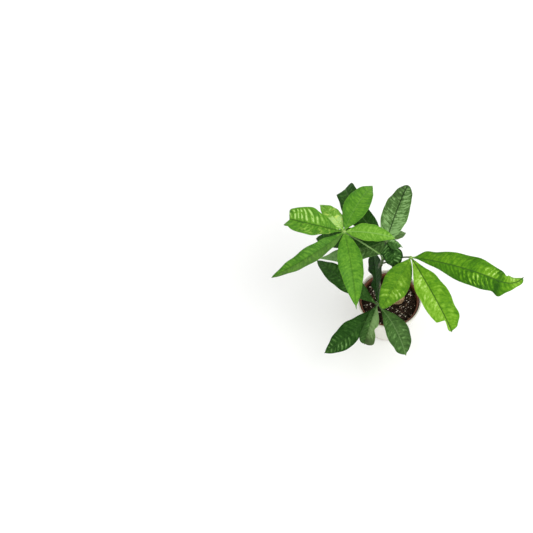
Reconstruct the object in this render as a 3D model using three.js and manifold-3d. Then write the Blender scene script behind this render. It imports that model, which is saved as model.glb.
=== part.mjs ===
// A small money tree (Pachira) in a nursery pot inside a white glazed cover pot.
// Millimetres and degrees, +Z up, origin at the middle of the cover pot's underside.
// The viewer of the plant stands on the -Y side, with +X to the right.

import * as THREE from 'three';
import { mergeVertices } from 'three/addons/utils/BufferGeometryUtils.js';
import Module from 'manifold-3d';

const wasm = await Module();
wasm.setup();

// ---------------------------------------------------------------- driving dimensions

const GAP = 0.3;               // clearance kept between touching pieces
const ROUND_SIDES = 40;        // facets round the pots and the soil

const COVER_POT = { rimRadius: 52, footRadius: 37.5, height: 82, wall: 2.6, floor: 4, lip: 1.5, bevel: 1.5 };
const NURSERY_POT = { footRadius: 33.2, height: 73, wall: 1.2, rimBead: 1.2, beadHeight: 3, rounding: 0.6 };
const DRAIN = { holes: 6, holeRadius: 4, circleRadius: 21, sides: 12 };
const SOIL = { level: 67.5, crown: 2.5, crumb: 1.3, rings: 7 };
const GRAINS = { count: 22, smallest: 1.2, largest: 2.1, seed: 7 };
const TRUNK = { x: 12, y: 7, radius: 12.5, top: 83, foot: 34, flare: 1.5, tilt: 4, worn: 0.9, wornPart: 0.07 };
const PETIOLE = { radius: 1.2, sides: 7, steps: 12 };
const PETIOLE_ENDS = { baseFlare: 1.1, basePart: 0.06, hubFlare: 0.5, hubPart: 0.05 };
const HUB = { radius: 3.1, height: 0.8, sides: 10, rows: 6 };
const BLADE = { thickness: 0.8, keel: 0.7, across: 4, segment: 9, root: 3, stalk: 1.3, cut: 0.5 };
const RIPPLE = { height: 1.1, forLength: 110, waves: 4, lag: 1.3 };
const NIP_SPAN = 0.06;         // share of a leaflet's length over which a nip sets in

// The shoot's centre line, from the stump's edge up to the bud, and its radius there.
const SHOOT = {
  path: [
    [2, -0.5, 79],
    [-7, -2, 93],
    [-18, -1, 120],
    [-21, 7, 148],
    [-20, 12, 168],
    [-17, 15, 187],
    [-12.5, 18, 206],
    [-10, 20, 219],
  ],
  footRadius: 3.9,
  tipRadius: 2.1,
  footFlare: 1.6,
  scars: [0.2, 0.37, 0.55, 0.7, 0.82, 0.93],
  scarHeight: 0.55,
  scarSpan: 0.018,
  sides: 8,
  steps: 44,
};
const BUD = { radius: 2.3, height: 9, lean: 14, forward: 0.9, raised: 3.2 };

// One palmate leaf: where its hub is, the way its petiole takes from the shoot, and its leaflets.
// A leaflet's length runs along its midrib and its heading is seen from above, from +X towards +Y.
// rise and fall are the midrib's slope at the hub and at the tip; sway is how far it turns sideways
// on the way; widest is where along it the oval is widest; fold lifts both halves about the midrib;
// roll turns the whole blade about it, at the hub and at the tip; curl and hook bend the end down or
// sideways from curlAt onward, over curlSpan; drip is the length of the pointed tip; full says how
// slender the outline starts and ends; nip is where one half (side 1 is the left) loses a share of
// its width, as where an edge is torn.
const LEAVES = {
  leaf_top: {
    colour: 0x6ba32f,
    hub: [-79, 27, 262],
    petiole: [
      [-17, 15.5, 194],
      [-19.5, 12, 208],
      [-21.8, 7.8, 222],
      [-26.5, 3.7, 236],
      [-37.5, 5.3, 248],
      [-54, 13, 256],
    ],
    leaflets: [
      {
        length: 104, width: 38, heading: 62, rise: 20, fall: -35, sway: -11, widest: 0.46, fold: 5,
        roll: [6, 4],
      },
      { length: 83, width: 30, heading: -4, rise: 18, fall: -35, sway: 4, widest: 0.44, fold: 4 },
      {
        length: 127, width: 38, heading: -81, rise: 12, fall: -50, sway: -1, widest: 0.42, fold: 6,
        drip: 8,
      },
      {
        length: 139, width: 28, heading: -151, rise: 14, fall: -40, sway: -38, widest: 0.46, fold: 20,
        roll: [0, -8],
      },
      {
        length: 107, width: 50, heading: 165, rise: 14, fall: -14, sway: -16, widest: 0.56, fold: 20,
        curl: -115, curlAt: 0.77, curlSpan: 0.1, drip: 6,
      },
      { length: 66, width: 25, heading: 125, rise: 12, fall: -30, sway: 10, widest: 0.5, fold: 6 },
    ],
  },
  leaf_right: {
    colour: 0x6aa52c,
    hub: [25, 5, 219],
    petiole: [[-18.5, 14, 178], [-8, 13, 188], [3, 12, 199], [15, 9, 211]],
    leaflets: [
      { length: 97, width: 40, heading: -125, rise: 5, fall: -60, sway: -18, widest: 0.46, fold: 4 },
      {
        length: 141, width: 47, heading: -59, rise: 16, fall: -55, sway: 15, widest: 0.58, fold: 14,
        full: [0.9, 0.6], nip: { side: -1, at: 0.8, loss: 0.85 },
      },
      {
        length: 187, width: 47, heading: -18, rise: 20, fall: -28, sway: 0, widest: 0.58, fold: -4,
        hook: 50, curlAt: 0.7, curlSpan: 0.3, drip: 6,
        full: [1.05, 0.65], nip: { side: 1, at: 0.8, loss: 0.75 },
      },
    ],
  },
  leaf_back: {
    colour: 0x2f6526,
    hub: [-13, 26, 232],
    petiole: [[-12.5, 18, 206], [-14, 21, 213], [-14, 24, 222]],
    leaflets: [
      {
        length: 141, width: 42, heading: 120, rise: 18, fall: -30, sway: -61, widest: 0.5, fold: 6,
        curl: -90, curlAt: 0.78, drip: 6,
      },
      {
        length: 112, width: 41, heading: 70, rise: 24, fall: -30, sway: -2, widest: 0.38, fold: 10,
        full: [0.8, 1],
      },
      { length: 46, width: 15, heading: 37, rise: -5, fall: -45, sway: 0, widest: 0.5, fold: 8 },
      { length: 28, width: 20, heading: -13, rise: 5, fall: -50, sway: 11, widest: 0.5, fold: 8 },
      {
        length: 52, width: 30, heading: -77, rise: -5, fall: -80, sway: -60, widest: 0.5, fold: 8,
        drip: 6,
      },
      {
        length: 115, width: 34, heading: -177, rise: -12, fall: -35, sway: -37, widest: 0.36, fold: 8,
        full: [0.8, 1],
      },
      {
        length: 116, width: 38, heading: 168, rise: -5, fall: -30, sway: -11, widest: 0.5, fold: 8,
        full: [1.1, 0.6], drip: 1,
      },
    ],
  },
  leaf_front: {
    colour: 0x376f2b,
    hub: [-24, -42, 148],
    petiole: [[-18.5, -1, 121], [-20, -14, 130], [-22, -28, 141]],
    leaflets: [
      { length: 131, width: 36, heading: 138, rise: 18, fall: -30, sway: -20, widest: 0.5, fold: 8 },
      {
        length: 103, width: 26, heading: 93, rise: 24, fall: -25, sway: -1, widest: 0.55, fold: 8,
        roll: [-60, -50],
      },
      { length: 79, width: 30, heading: 40, rise: 15, fall: -30, sway: -34, widest: 0.5, fold: 8 },
      { length: 121, width: 38, heading: -143, rise: 10, fall: -50, sway: -45, widest: 0.56, fold: 6 },
      {
        length: 70, width: 32, heading: -112, rise: 5, fall: -60, sway: 3, widest: 0.6, fold: 38,
        nip: { side: 1, at: 0.62, loss: 0.25 },
      },
      {
        length: 97, width: 38, heading: -60, rise: 14, fall: -50, sway: -15, widest: 0.6, fold: 8,
        nip: { side: 1, at: 0.92, loss: 0.6 },
      },
    ],
  },
};

// ---------------------------------------------------------------- materials

const finish = (color, roughness) => new THREE.MeshStandardMaterial({ color, roughness, metalness: 0 });
const glaze = finish(0xe9e7e2, 0.25);
const brownPlastic = finish(0x6e3b2a, 0.55);
const mix = finish(0x3a261c, 0.95);
const wood = finish(0x8a6a48, 0.85);
const greenBark = finish(0x6f7d55, 0.6);

// ---------------------------------------------------------------- general tools

const radians = THREE.MathUtils.degToRad;
const smooth = (x) => THREE.MathUtils.smoothstep(x, 0, 1);

/** A closed three.js geometry as a manifold solid: shared vertices merged, flat scraps dropped. */
function solid(geometry) {
  geometry.deleteAttribute('normal');
  geometry.deleteAttribute('uv');
  const merged = mergeVertices(geometry, 1e-4);
  const corners = merged.index.array;
  const kept = [];
  for (let i = 0; i < corners.length; i += 3) {
    const [a, b, c] = [corners[i], corners[i + 1], corners[i + 2]];
    if (a !== b && b !== c && c !== a) {
      kept.push(a, b, c);
    }
  }
  const vertProperties = Float32Array.from(merged.attributes.position.array);
  return new wasm.Manifold(new wasm.Mesh({ numProp: 3, vertProperties, triVerts: Uint32Array.from(kept) }));
}

/** A manifold solid as a named mesh. */
function piece(name, body, material) {
  const { vertProperties, triVerts } = body.getMesh();
  const geometry = new THREE.BufferGeometry();
  geometry.setAttribute('position', new THREE.BufferAttribute(Float32Array.from(vertProperties), 3));
  geometry.setIndex(new THREE.BufferAttribute(Uint32Array.from(triVerts), 1));
  geometry.computeVertexNormals();
  const mesh = new THREE.Mesh(geometry, material);
  mesh.name = name;
  return mesh;
}

/** A solid turned about the Z axis from a closed profile of [radius, height] points. */
function turned(profile, sides = ROUND_SIDES) {
  const points = profile.map(([r, z]) => new THREE.Vector2(r, z));
  return new THREE.LatheGeometry(points, sides).rotateX(Math.PI / 2);
}

/** Repeatable numbers from 0 to 1. */
function dice(seed) {
  let state = seed;
  return () => {
    state = (state * 1103515245 + 12345) % 2147483648;
    return state / 2147483648;
  };
}

const curveThrough = (path) => new THREE.CatmullRomCurve3(path.map((p) => new THREE.Vector3(...p)));

/** A cylinder bent along a path, with the radius that radiusAt gives for each share of its length. */
function bentRod(path, radiusAt, sides, steps) {
  const curve = curveThrough(path);
  const frames = curve.computeFrenetFrames(steps);
  const rod = new THREE.CylinderGeometry(1, 1, steps, sides, steps);
  const at = rod.attributes.position;
  for (let i = 0; i < at.count; i += 1) {
    const station = Math.round(at.getY(i) + steps / 2);
    const share = station / steps;
    const radius = radiusAt(share);
    const spot = curve.getPointAt(share);
    spot.addScaledVector(frames.normals[station], at.getX(i) * radius);
    spot.addScaledVector(frames.binormals[station], -at.getZ(i) * radius);
    at.setXYZ(i, spot.x, spot.y, spot.z);
  }
  return solid(rod);
}

// ---------------------------------------------------------------- pots and soil

const COVER_SLOPE = (COVER_POT.rimRadius - COVER_POT.footRadius) / COVER_POT.height;

/** The inside radius of the cover pot at a height above the table. */
const coverInside = (z) => COVER_POT.footRadius + COVER_SLOPE * z - COVER_POT.wall;

/** The straight tapered cover pot with a rounded lip, hollow down to its floor. */
function coverPot() {
  const { rimRadius, footRadius, height, floor, lip, bevel } = COVER_POT;
  const rounding = 0.3 * lip;
  return solid(turned([
    [0, 0],
    [footRadius - bevel, 0],
    [footRadius + COVER_SLOPE * bevel, bevel],
    [rimRadius - COVER_SLOPE * lip, height - lip],
    [rimRadius - rounding, height - rounding],
    [rimRadius - lip, height],
    [coverInside(height) + rounding, height - rounding],
    [coverInside(height) - COVER_SLOPE * lip, height - lip],
    [coverInside(floor + bevel), floor + bevel],
    [coverInside(floor) - bevel, floor],
    [0, floor],
  ]));
}

const NURSERY_FOOT = COVER_POT.floor + GAP;
const NURSERY_TOP = NURSERY_FOOT + NURSERY_POT.height;
const NURSERY_RIM = coverInside(NURSERY_TOP - NURSERY_POT.beadHeight) - 1.2 * GAP;

/** The inside radius of the nursery pot at a height above the table. */
function nurseryInside(z) {
  const { footRadius, height, wall, rimBead } = NURSERY_POT;
  return footRadius + ((NURSERY_RIM - rimBead - footRadius) * (z - NURSERY_FOOT)) / height - wall;
}

/** The thin nursery pot with a beaded rim and drain holes in its floor. */
function nurseryPot() {
  const { footRadius, wall, rimBead, beadHeight, rounding } = NURSERY_POT;
  const [foot, top] = [NURSERY_FOOT, NURSERY_TOP];
  let pot = solid(turned([
    [0, foot],
    [footRadius, foot],
    [NURSERY_RIM - rimBead, top - beadHeight],
    [NURSERY_RIM, top - beadHeight + rounding],
    [NURSERY_RIM, top - rounding],
    [NURSERY_RIM - rounding, top],
    [nurseryInside(top), top],
    [nurseryInside(foot + wall), foot + wall],
    [0, foot + wall],
  ]));
  for (let i = 0; i < DRAIN.holes; i += 1) {
    const angle = (i / DRAIN.holes) * 2 * Math.PI;
    const drill = new THREE.CylinderGeometry(DRAIN.holeRadius, DRAIN.holeRadius, 4 * wall, DRAIN.sides);
    drill.rotateX(Math.PI / 2);
    drill.translate(DRAIN.circleRadius * Math.cos(angle), DRAIN.circleRadius * Math.sin(angle), foot);
    pot = pot.subtract(solid(drill));
  }
  return pot;
}

/** Height of the crumbly soil above the table at a place. */
function soilHeight(x, y) {
  const away = Math.hypot(x, y) / nurseryInside(SOIL.level);
  const crumbs = Math.sin(0.61 * x + 1.3) * Math.sin(0.53 * y - 0.4) + 0.6 * Math.sin(1.27 * x - 0.9 * y);
  return SOIL.level + SOIL.crown * (1 - away * away) + 0.6 * SOIL.crumb * crumbs;
}

/** The soil with perlite grains standing out of it and a plain hole for the stump. */
function soil(stumpHole) {
  const bottom = NURSERY_FOOT + NURSERY_POT.wall + GAP;
  const rim = nurseryInside(SOIL.level) - GAP;
  const profile = [[0, bottom], [nurseryInside(bottom) - GAP, bottom], [rim, SOIL.level - 1]];
  for (let ring = 1; ring <= SOIL.rings; ring += 1) {
    profile.push([rim * (1 - ring / SOIL.rings), SOIL.level]);
  }
  const block = turned(profile);
  const at = block.attributes.position;
  for (let i = 0; i < at.count; i += 1) {
    if (at.getZ(i) > SOIL.level - 0.5) {
      at.setZ(i, soilHeight(at.getX(i), at.getY(i)));
    }
  }
  let bed = solid(block);
  const draw = dice(GRAINS.seed);
  for (let i = 0; i < GRAINS.count; i += 1) {
    const away = rim * 0.93 * Math.sqrt(draw());
    const angle = 2 * Math.PI * draw();
    const [x, y] = [away * Math.cos(angle), away * Math.sin(angle)];
    const size = THREE.MathUtils.lerp(GRAINS.smallest, GRAINS.largest, draw());
    const grain = new THREE.IcosahedronGeometry(size, 0);
    grain.rotateX(3 * draw());
    grain.rotateY(3 * draw());
    grain.translate(x, y, soilHeight(x, y) + 0.2 * size);
    bed = bed.add(solid(grain));
  }
  return bed.subtract(stumpHole);
}

// ---------------------------------------------------------------- stump and shoot

/** The woody stump, grown by extra all round: uneven in outline, its cut top slightly tilted. */
function stump(extra = 0) {
  const { x, y, radius, top, foot, flare, tilt, worn, wornPart } = TRUNK;
  const tall = top - foot + 2 * extra;
  const log = new THREE.CylinderGeometry(1, 1, tall, 24, 8);
  const at = log.attributes.position;
  for (let i = 0; i < at.count; i += 1) {
    const share = at.getY(i) / tall + 0.5;
    const angle = Math.atan2(at.getZ(i), at.getX(i));
    const uneven = 0.5 * Math.sin(3 * angle + 0.7) + 0.35 * Math.sin(5 * angle + 4 * share);
    const edge = worn * smooth((share - 1 + wornPart) / wornPart);
    const width = radius + extra + flare * (1 - share) ** 2 + uneven - edge;
    const away = Math.hypot(at.getX(i), at.getZ(i));
    const [u, v] = [width * away * Math.cos(angle), width * away * Math.sin(angle)];
    const lift = share * Math.tan(radians(tilt)) * u;
    at.setXYZ(i, x + u, y - v, foot - extra + share * tall + lift);
  }
  return solid(log);
}

/** The shoot, grown by extra all round: thicker at its foot, with a low ring at each leaf scar. */
function stem(extra = 0) {
  const { path, footRadius, tipRadius, footFlare, scars, scarHeight, scarSpan } = SHOOT;
  const radiusAt = (share) => {
    const rings = scars.map((scar) => Math.exp(-(((share - scar) / scarSpan) ** 2)));
    const swelling = scarHeight * Math.max(...rings);
    const foot = footFlare * Math.exp(-share / 0.05);
    return THREE.MathUtils.lerp(footRadius, tipRadius, share ** 0.8) + foot + swelling + extra;
  };
  return bentRod(path, radiusAt, SHOOT.sides, SHOOT.steps);
}

/** The pointed bud at the shoot's tip, leaning a little forward. */
function bud() {
  const tip = new THREE.ConeGeometry(BUD.radius, BUD.height, SHOOT.sides, 3);
  tip.rotateX(Math.PI / 2);
  tip.rotateY(radians(BUD.lean));
  const [x, y, z] = SHOOT.path.at(-1);
  tip.translate(x + BUD.forward, y, z + BUD.raised);
  return solid(tip);
}

// ---------------------------------------------------------------- leaves

/** The midrib of a leaflet: its place, direction and heading at a share of its length. */
function midrib(leaflet) {
  const { length, heading, rise, fall, sway, curl = 0, hook = 0, curlAt = 0.8, curlSpan = 0.14 } = leaflet;
  const steps = 48;
  const bend = (t) => smooth((t - curlAt) / curlSpan);
  const turnAt = (t) => radians(heading + sway * (t - 0.5) + hook * bend(t));
  const points = [new THREE.Vector3()];
  const directions = [];
  for (let i = 0; i <= steps; i += 1) {
    const t = i / steps;
    const slope = radians(rise + (fall - rise) * t + curl * bend(t));
    const turn = turnAt(t);
    const level = Math.cos(slope);
    directions.push(new THREE.Vector3(level * Math.cos(turn), level * Math.sin(turn), Math.sin(slope)));
  }
  for (let i = 0; i < steps; i += 1) {
    const step = directions[i].clone().add(directions[i + 1]).setLength(length / steps);
    points.push(points[i].clone().add(step));
  }
  const at = (list, t) => {
    const place = Math.min(Math.max(t, 0), 1) * steps;
    const low = Math.min(Math.floor(place), steps - 1);
    return list[low].clone().lerp(list[low + 1], place - low);
  };
  return (t) => ({ point: at(points, t), along: at(directions, t).normalize(), turn: turnAt(t) });
}

/** Half the width of a leaflet at a share of its length: a stalk, an oval blade and a drip tip. */
function halfWidth(leaflet, t, u) {
  const { length, width, widest, drip = 3, full = [1.1, 0.75], nip } = leaflet;
  const from = BLADE.root / length;
  const to = 1 - (0.8 * drip) / length;
  const v = THREE.MathUtils.clamp((t - from) / (to - from), 0, 1);
  const oval = Math.sin(Math.PI * v ** (Math.log(0.5) / Math.log(widest)));
  const blade = 0.5 * width * Math.max(oval, 0) ** THREE.MathUtils.lerp(full[0], full[1], v);
  const strip = BLADE.stalk * Math.min(1, ((1 - t) * length) / drip) ** 0.8;
  const nipped = nip && nip.side * u > 0 ? 1 - nip.loss * smooth((t - nip.at) / NIP_SPAN) : 1;
  return Math.max(Math.hypot(blade * nipped, strip), BLADE.cut);
}

/** A point on the leaflet's upper face: t runs from hub to tip, u from -1 at the right edge to 1. */
function bladePoint(leaflet, rib, t, u) {
  const { length, fold, roll = [0, 0] } = leaflet;
  const { point, along, turn } = rib(t);
  const left = new THREE.Vector3(-Math.sin(turn), Math.cos(turn), 0);
  left.addScaledVector(along, -left.dot(along)).normalize();
  const up = along.clone().cross(left);
  const bank = radians(THREE.MathUtils.lerp(roll[0], roll[1], t));
  const side = left.clone().multiplyScalar(Math.cos(bank)).addScaledVector(up, Math.sin(bank));
  const out = up.clone().multiplyScalar(Math.cos(bank)).addScaledVector(left, -Math.sin(bank));
  const half = halfWidth(leaflet, t, u);
  const open = radians(fold);
  const height = RIPPLE.height * (length / RIPPLE.forLength) * u * u * Math.min(1, 6 * t * (1 - t));
  const ripple = height * Math.sin(2 * Math.PI * RIPPLE.waves * t + (u > 0 ? 0 : RIPPLE.lag));
  const lift = Math.abs(u) * half * Math.sin(open) + ripple;
  return point.addScaledVector(side, u * half * Math.cos(open)).addScaledVector(out, lift);
}

/** One leaflet as a thin closed blade, keeled along the midrib, both faces split alike. */
function blade(leaflet) {
  const rib = midrib(leaflet);
  const { across, thickness, keel, segment } = BLADE;
  const along = Math.max(8, Math.round(leaflet.length / segment)) + (leaflet.curl ? 4 : 0);
  const rows = along + 1;
  const columns = across + 1;
  const upper = [];
  const lower = [];
  const [nearT, nearU] = [0.01, 0.4];
  for (let i = 0; i < rows; i += 1) {
    const share = i / along;
    const t = leaflet.curl ? share : share - 0.05 * Math.sin(2 * Math.PI * share);
    for (let j = 0; j < columns; j += 1) {
      const u = (2 * j) / across - 1;
      const here = bladePoint(leaflet, rib, t, u);
      const [t0, t1] = [Math.max(t - nearT, 0), Math.min(t + nearT, 1)];
      const lengthways = bladePoint(leaflet, rib, t1, u).sub(bladePoint(leaflet, rib, t0, u));
      const [u0, u1] = [Math.max(u - nearU, -1), Math.min(u + nearU, 1)];
      const sideways = bladePoint(leaflet, rib, t, u1).sub(bladePoint(leaflet, rib, t, u0));
      const normal = lengthways.cross(sideways).normalize();
      const depth = thickness + (u === 0 ? keel : 0);
      upper.push(here);
      lower.push(here.clone().addScaledVector(normal, -depth));
    }
  }
  const vertices = [...upper, ...lower];
  const below = upper.length;
  const faces = [];
  const quad = (a, b, c, d) => faces.push(a, b, c, a, c, d);
  const id = (i, j) => i * columns + j;
  for (let i = 0; i < along; i += 1) {
    for (let j = 0; j < across; j += 1) {
      const [a, b, c, d] = [id(i, j), id(i + 1, j), id(i + 1, j + 1), id(i, j + 1)];
      quad(a, b, c, d);
      quad(below + a, below + d, below + c, below + b);
    }
    quad(id(i, 0), below + id(i, 0), below + id(i + 1, 0), id(i + 1, 0));
    quad(id(i + 1, across), below + id(i + 1, across), below + id(i, across), id(i, across));
  }
  for (let j = 0; j < across; j += 1) {
    quad(id(0, j + 1), below + id(0, j + 1), below + id(0, j), id(0, j));
    quad(id(along, j), below + id(along, j), below + id(along, j + 1), id(along, j + 1));
  }
  const geometry = new THREE.BufferGeometry();
  const places = vertices.flatMap((p) => [p.x, p.y, p.z]);
  geometry.setAttribute('position', new THREE.Float32BufferAttribute(places, 3));
  geometry.setIndex(faces);
  return solid(geometry);
}

/** A whole palmate leaf: petiole, hub and leaflets in one body, cut clear of the shoot. */
function palmateLeaf({ hub, petiole, leaflets }, shootSpace) {
  const path = [...petiole, hub];
  const { baseFlare, basePart, hubFlare, hubPart } = PETIOLE_ENDS;
  const radiusAt = (share) => {
    const swelling = baseFlare * Math.exp(-share / basePart) + hubFlare * Math.exp((share - 1) / hubPart);
    return PETIOLE.radius + swelling;
  };
  let leaf = bentRod(path, radiusAt, PETIOLE.sides, PETIOLE.steps);
  const knob = new THREE.SphereGeometry(HUB.radius, HUB.sides, HUB.rows);
  knob.rotateX(Math.PI / 2);
  knob.scale(1, 1, HUB.height);
  leaf = leaf.add(solid(knob).translate(hub));
  for (const leaflet of leaflets) {
    leaf = leaf.add(blade(leaflet).translate(hub));
  }
  return leaf.subtract(shootSpace);
}

// ---------------------------------------------------------------- assembly

const stumpSpace = stump(GAP);
const shootSpace = stem(GAP);

const plant = new THREE.Group();
plant.name = 'potted_money_tree';
plant.add(piece('cover_pot', coverPot(), glaze));
plant.add(piece('nursery_pot', nurseryPot(), brownPlastic));
plant.add(piece('soil', soil(stumpSpace), mix));
plant.add(piece('trunk', stump(), wood));
plant.add(piece('shoot', stem().add(bud()).subtract(stumpSpace), greenBark));
for (const [name, leaf] of Object.entries(LEAVES)) {
  plant.add(piece(name, palmateLeaf(leaf, shootSpace), finish(leaf.colour, 0.4)));
}

export default plant;
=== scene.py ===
"""The looks of a small potted money tree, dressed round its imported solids.

Sizes are millimetres in the classes of the pieces and finishes, and metres in those of the studio and
the camera. Angles are degrees. +Z is up, with the origin at the middle of the cover pot's underside,
and the plant is seen from the -Y side. Meshes are made in metres.
"""

import logging
import math
import random
from dataclasses import dataclass, field, replace
from enum import Enum
from typing import Any, Mapping, Optional, Sequence, Union

import bmesh
import bpy
import numpy as np
from mathutils import Euler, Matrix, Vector, noise


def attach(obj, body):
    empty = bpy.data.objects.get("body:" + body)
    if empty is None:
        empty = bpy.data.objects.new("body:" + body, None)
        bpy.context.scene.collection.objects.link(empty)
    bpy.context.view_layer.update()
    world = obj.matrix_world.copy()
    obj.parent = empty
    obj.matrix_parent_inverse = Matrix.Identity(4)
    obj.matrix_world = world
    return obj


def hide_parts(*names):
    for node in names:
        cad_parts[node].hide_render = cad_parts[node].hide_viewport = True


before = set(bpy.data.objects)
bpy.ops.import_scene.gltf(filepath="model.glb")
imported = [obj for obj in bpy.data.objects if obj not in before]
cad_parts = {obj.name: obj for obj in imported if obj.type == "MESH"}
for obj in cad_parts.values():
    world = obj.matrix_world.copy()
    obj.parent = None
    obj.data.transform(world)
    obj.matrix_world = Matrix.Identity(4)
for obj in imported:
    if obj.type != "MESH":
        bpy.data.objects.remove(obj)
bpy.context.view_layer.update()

MM = 0.001
BODY = "root"
GAP = 0.3  # clearance kept between touching pieces
WELD = 0.01  # points nearer than this are one

log = logging.getLogger("money_tree")

Point = tuple[float, float, float]
Colour = tuple[float, float, float]
Ends = tuple[float, float]
Outline = list[tuple[float, float]]
Array = np.ndarray


# ---------------------------------------------------------------- numbers and curves


def smooth(x: Union[float, Array]) -> Any:
    """Eases from 0 to 1 as x goes from 0 to 1."""
    x = np.clip(x, 0.0, 1.0)
    return x * x * (3.0 - 2.0 * x)


def lerp(a: Any, b: Any, share: Any) -> Any:
    """The value a share of the way from a to b."""
    return a + (b - a) * share


def unit(vectors: Array) -> Array:
    """The vectors of an array, each scaled to length 1."""
    return vectors / np.maximum(np.linalg.norm(vectors, axis=-1, keepdims=True), 1e-12)


@dataclass
class GrainDraw:
    """Repeatable numbers from 0 to 1, drawn in the way that places the grains of the solids."""

    state: float
    factor: float = 1103515245.0
    step: float = 12345.0
    span: float = 2147483648.0

    def __call__(self) -> float:
        """Draws the next number."""
        self.state = math.fmod(self.state * self.factor + self.step, self.span)
        return self.state / self.span


def curve_through(path: Sequence[Point], count: int, between: int = 40) -> Array:
    """Points at even steps along a centripetal Catmull-Rom curve.

    Args:
        path: The points that the curve passes through.
        count: How many points to return.
        between: How many points are worked out from one point of the path to the next.

    Returns:
        An array of count points.
    """
    knots = np.array(path, float)
    knots = np.vstack([2 * knots[0] - knots[1], knots, 2 * knots[-1] - knots[-2]])
    fine = []
    shares = np.linspace(0, 1, between, endpoint=False)[:, None]
    for p0, p1, p2, p3 in zip(knots, knots[1:], knots[2:], knots[3:]):
        d0, d1, d2 = (math.sqrt(np.linalg.norm(b - a)) for a, b in ((p0, p1), (p1, p2), (p2, p3)))
        start = ((p1 - p0) / d0 - (p2 - p0) / (d0 + d1) + (p2 - p1) / d1) * d1
        end = ((p2 - p1) / d1 - (p3 - p1) / (d1 + d2) + (p3 - p2) / d2) * d1
        square = -3 * p1 + 3 * p2 - 2 * start - end
        cube = 2 * p1 - 2 * p2 + start + end
        fine.append(p1 + shares * (start + shares * (square + shares * cube)))
    points = np.vstack(fine + [knots[-2][None]])
    walked = np.concatenate([[0], np.cumsum(np.linalg.norm(np.diff(points, axis=0), axis=1))])
    stops = np.linspace(0, walked[-1], count)
    return np.stack([np.interp(stops, walked, points[:, i]) for i in range(3)], axis=1)


# ---------------------------------------------------------------- meshes


class Skin:
    """The points, faces, finishes and painted values that become one mesh."""

    def __init__(self) -> None:
        """Starts an empty skin."""
        self.points: list[Array] = []
        self.faces: list[list[int]] = []
        self.finishes: list[int] = []
        self.values: dict[str, list[Array]] = {}
        self.count = 0

    def add(self, points: Array, faces: Sequence[Sequence[int]], finish: int = 0, **values: Array) -> None:
        """Adds a patch.

        Args:
            points: Its points in millimetres, in any grid shape.
            faces: Its faces, as numbers of its own points.
            finish: Which of the skin's finishes the faces wear.
            **values: Three painted numbers for each point, by name.
        """
        flat = np.asarray(points, float).reshape(-1, 3)
        self.faces += [[corner + self.count for corner in face] for face in faces]
        self.finishes += [finish] * len(faces)
        for name in {**self.values, **values}:
            column = self.values.setdefault(name, [np.zeros((self.count, 3))])
            given = values.get(name)
            column.append(np.zeros_like(flat) if given is None else np.asarray(given).reshape(-1, 3))
        self.points.append(flat)
        self.count += len(flat)

    def build(self, name: str, materials: Sequence[bpy.types.Material]) -> bpy.types.Object:
        """Makes the mesh object.

        Args:
            name: The piece's name.
            materials: Its finishes, in the order that add() counts them.

        Returns:
            The object, smooth shaded, at the origin.
        """
        mesh = bpy.data.meshes.new(name)
        mesh.from_pydata((np.vstack(self.points) * MM).tolist(), [], self.faces)
        mesh.validate()
        for material in materials:
            mesh.materials.append(material)
        mesh.polygons.foreach_set("material_index", self.finishes)
        mesh.polygons.foreach_set("use_smooth", [True] * len(mesh.polygons))
        for key, columns in self.values.items():
            layer = mesh.attributes.new(key, "FLOAT_VECTOR", "POINT")
            layer.data.foreach_set("vector", np.vstack(columns).astype(np.float32).ravel())
        mesh.update()
        piece = bpy.data.objects.new(name, mesh)
        bpy.context.scene.collection.objects.link(piece)
        return piece


def sheet_faces(rows: int, columns: int) -> list[list[int]]:
    """The faces of a sheet of points, numbered row by row.

    Args:
        rows: How many rows of points there are.
        columns: How many points a row has.

    Returns:
        Quads of point numbers.
    """
    faces = []
    for low in range(0, (rows - 1) * columns, columns):
        for a in range(low, low + columns - 1):
            faces.append([a, a + columns, a + columns + 1, a + 1])
    return faces


def tube_faces(rows: int, sides: int) -> list[list[int]]:
    """The faces of an open tube of rings, facing outward.

    Args:
        rows: How many rings there are.
        sides: How many points a ring has.

    Returns:
        Quads of point numbers.
    """
    faces = []
    for low in range(0, (rows - 1) * sides, sides):
        for j in range(sides):
            a = low + j
            b = low + (j + 1) % sides
            faces.append([a, b, b + sides, a + sides])
    return faces


def closed_tube_faces(rows: int, sides: int) -> list[list[int]]:
    """The faces of a tube of rings that two points close, which are numbered after the rings.

    Args:
        rows: How many rings there are.
        sides: How many points a ring has.

    Returns:
        Faces of point numbers.
    """
    faces = tube_faces(rows, sides)
    last = (rows - 1) * sides
    low = rows * sides
    high = low + 1
    for j in range(sides):
        k = (j + 1) % sides
        faces.append([low, k, j])
        faces.append([high, last + j, last + k])
    return faces


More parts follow.
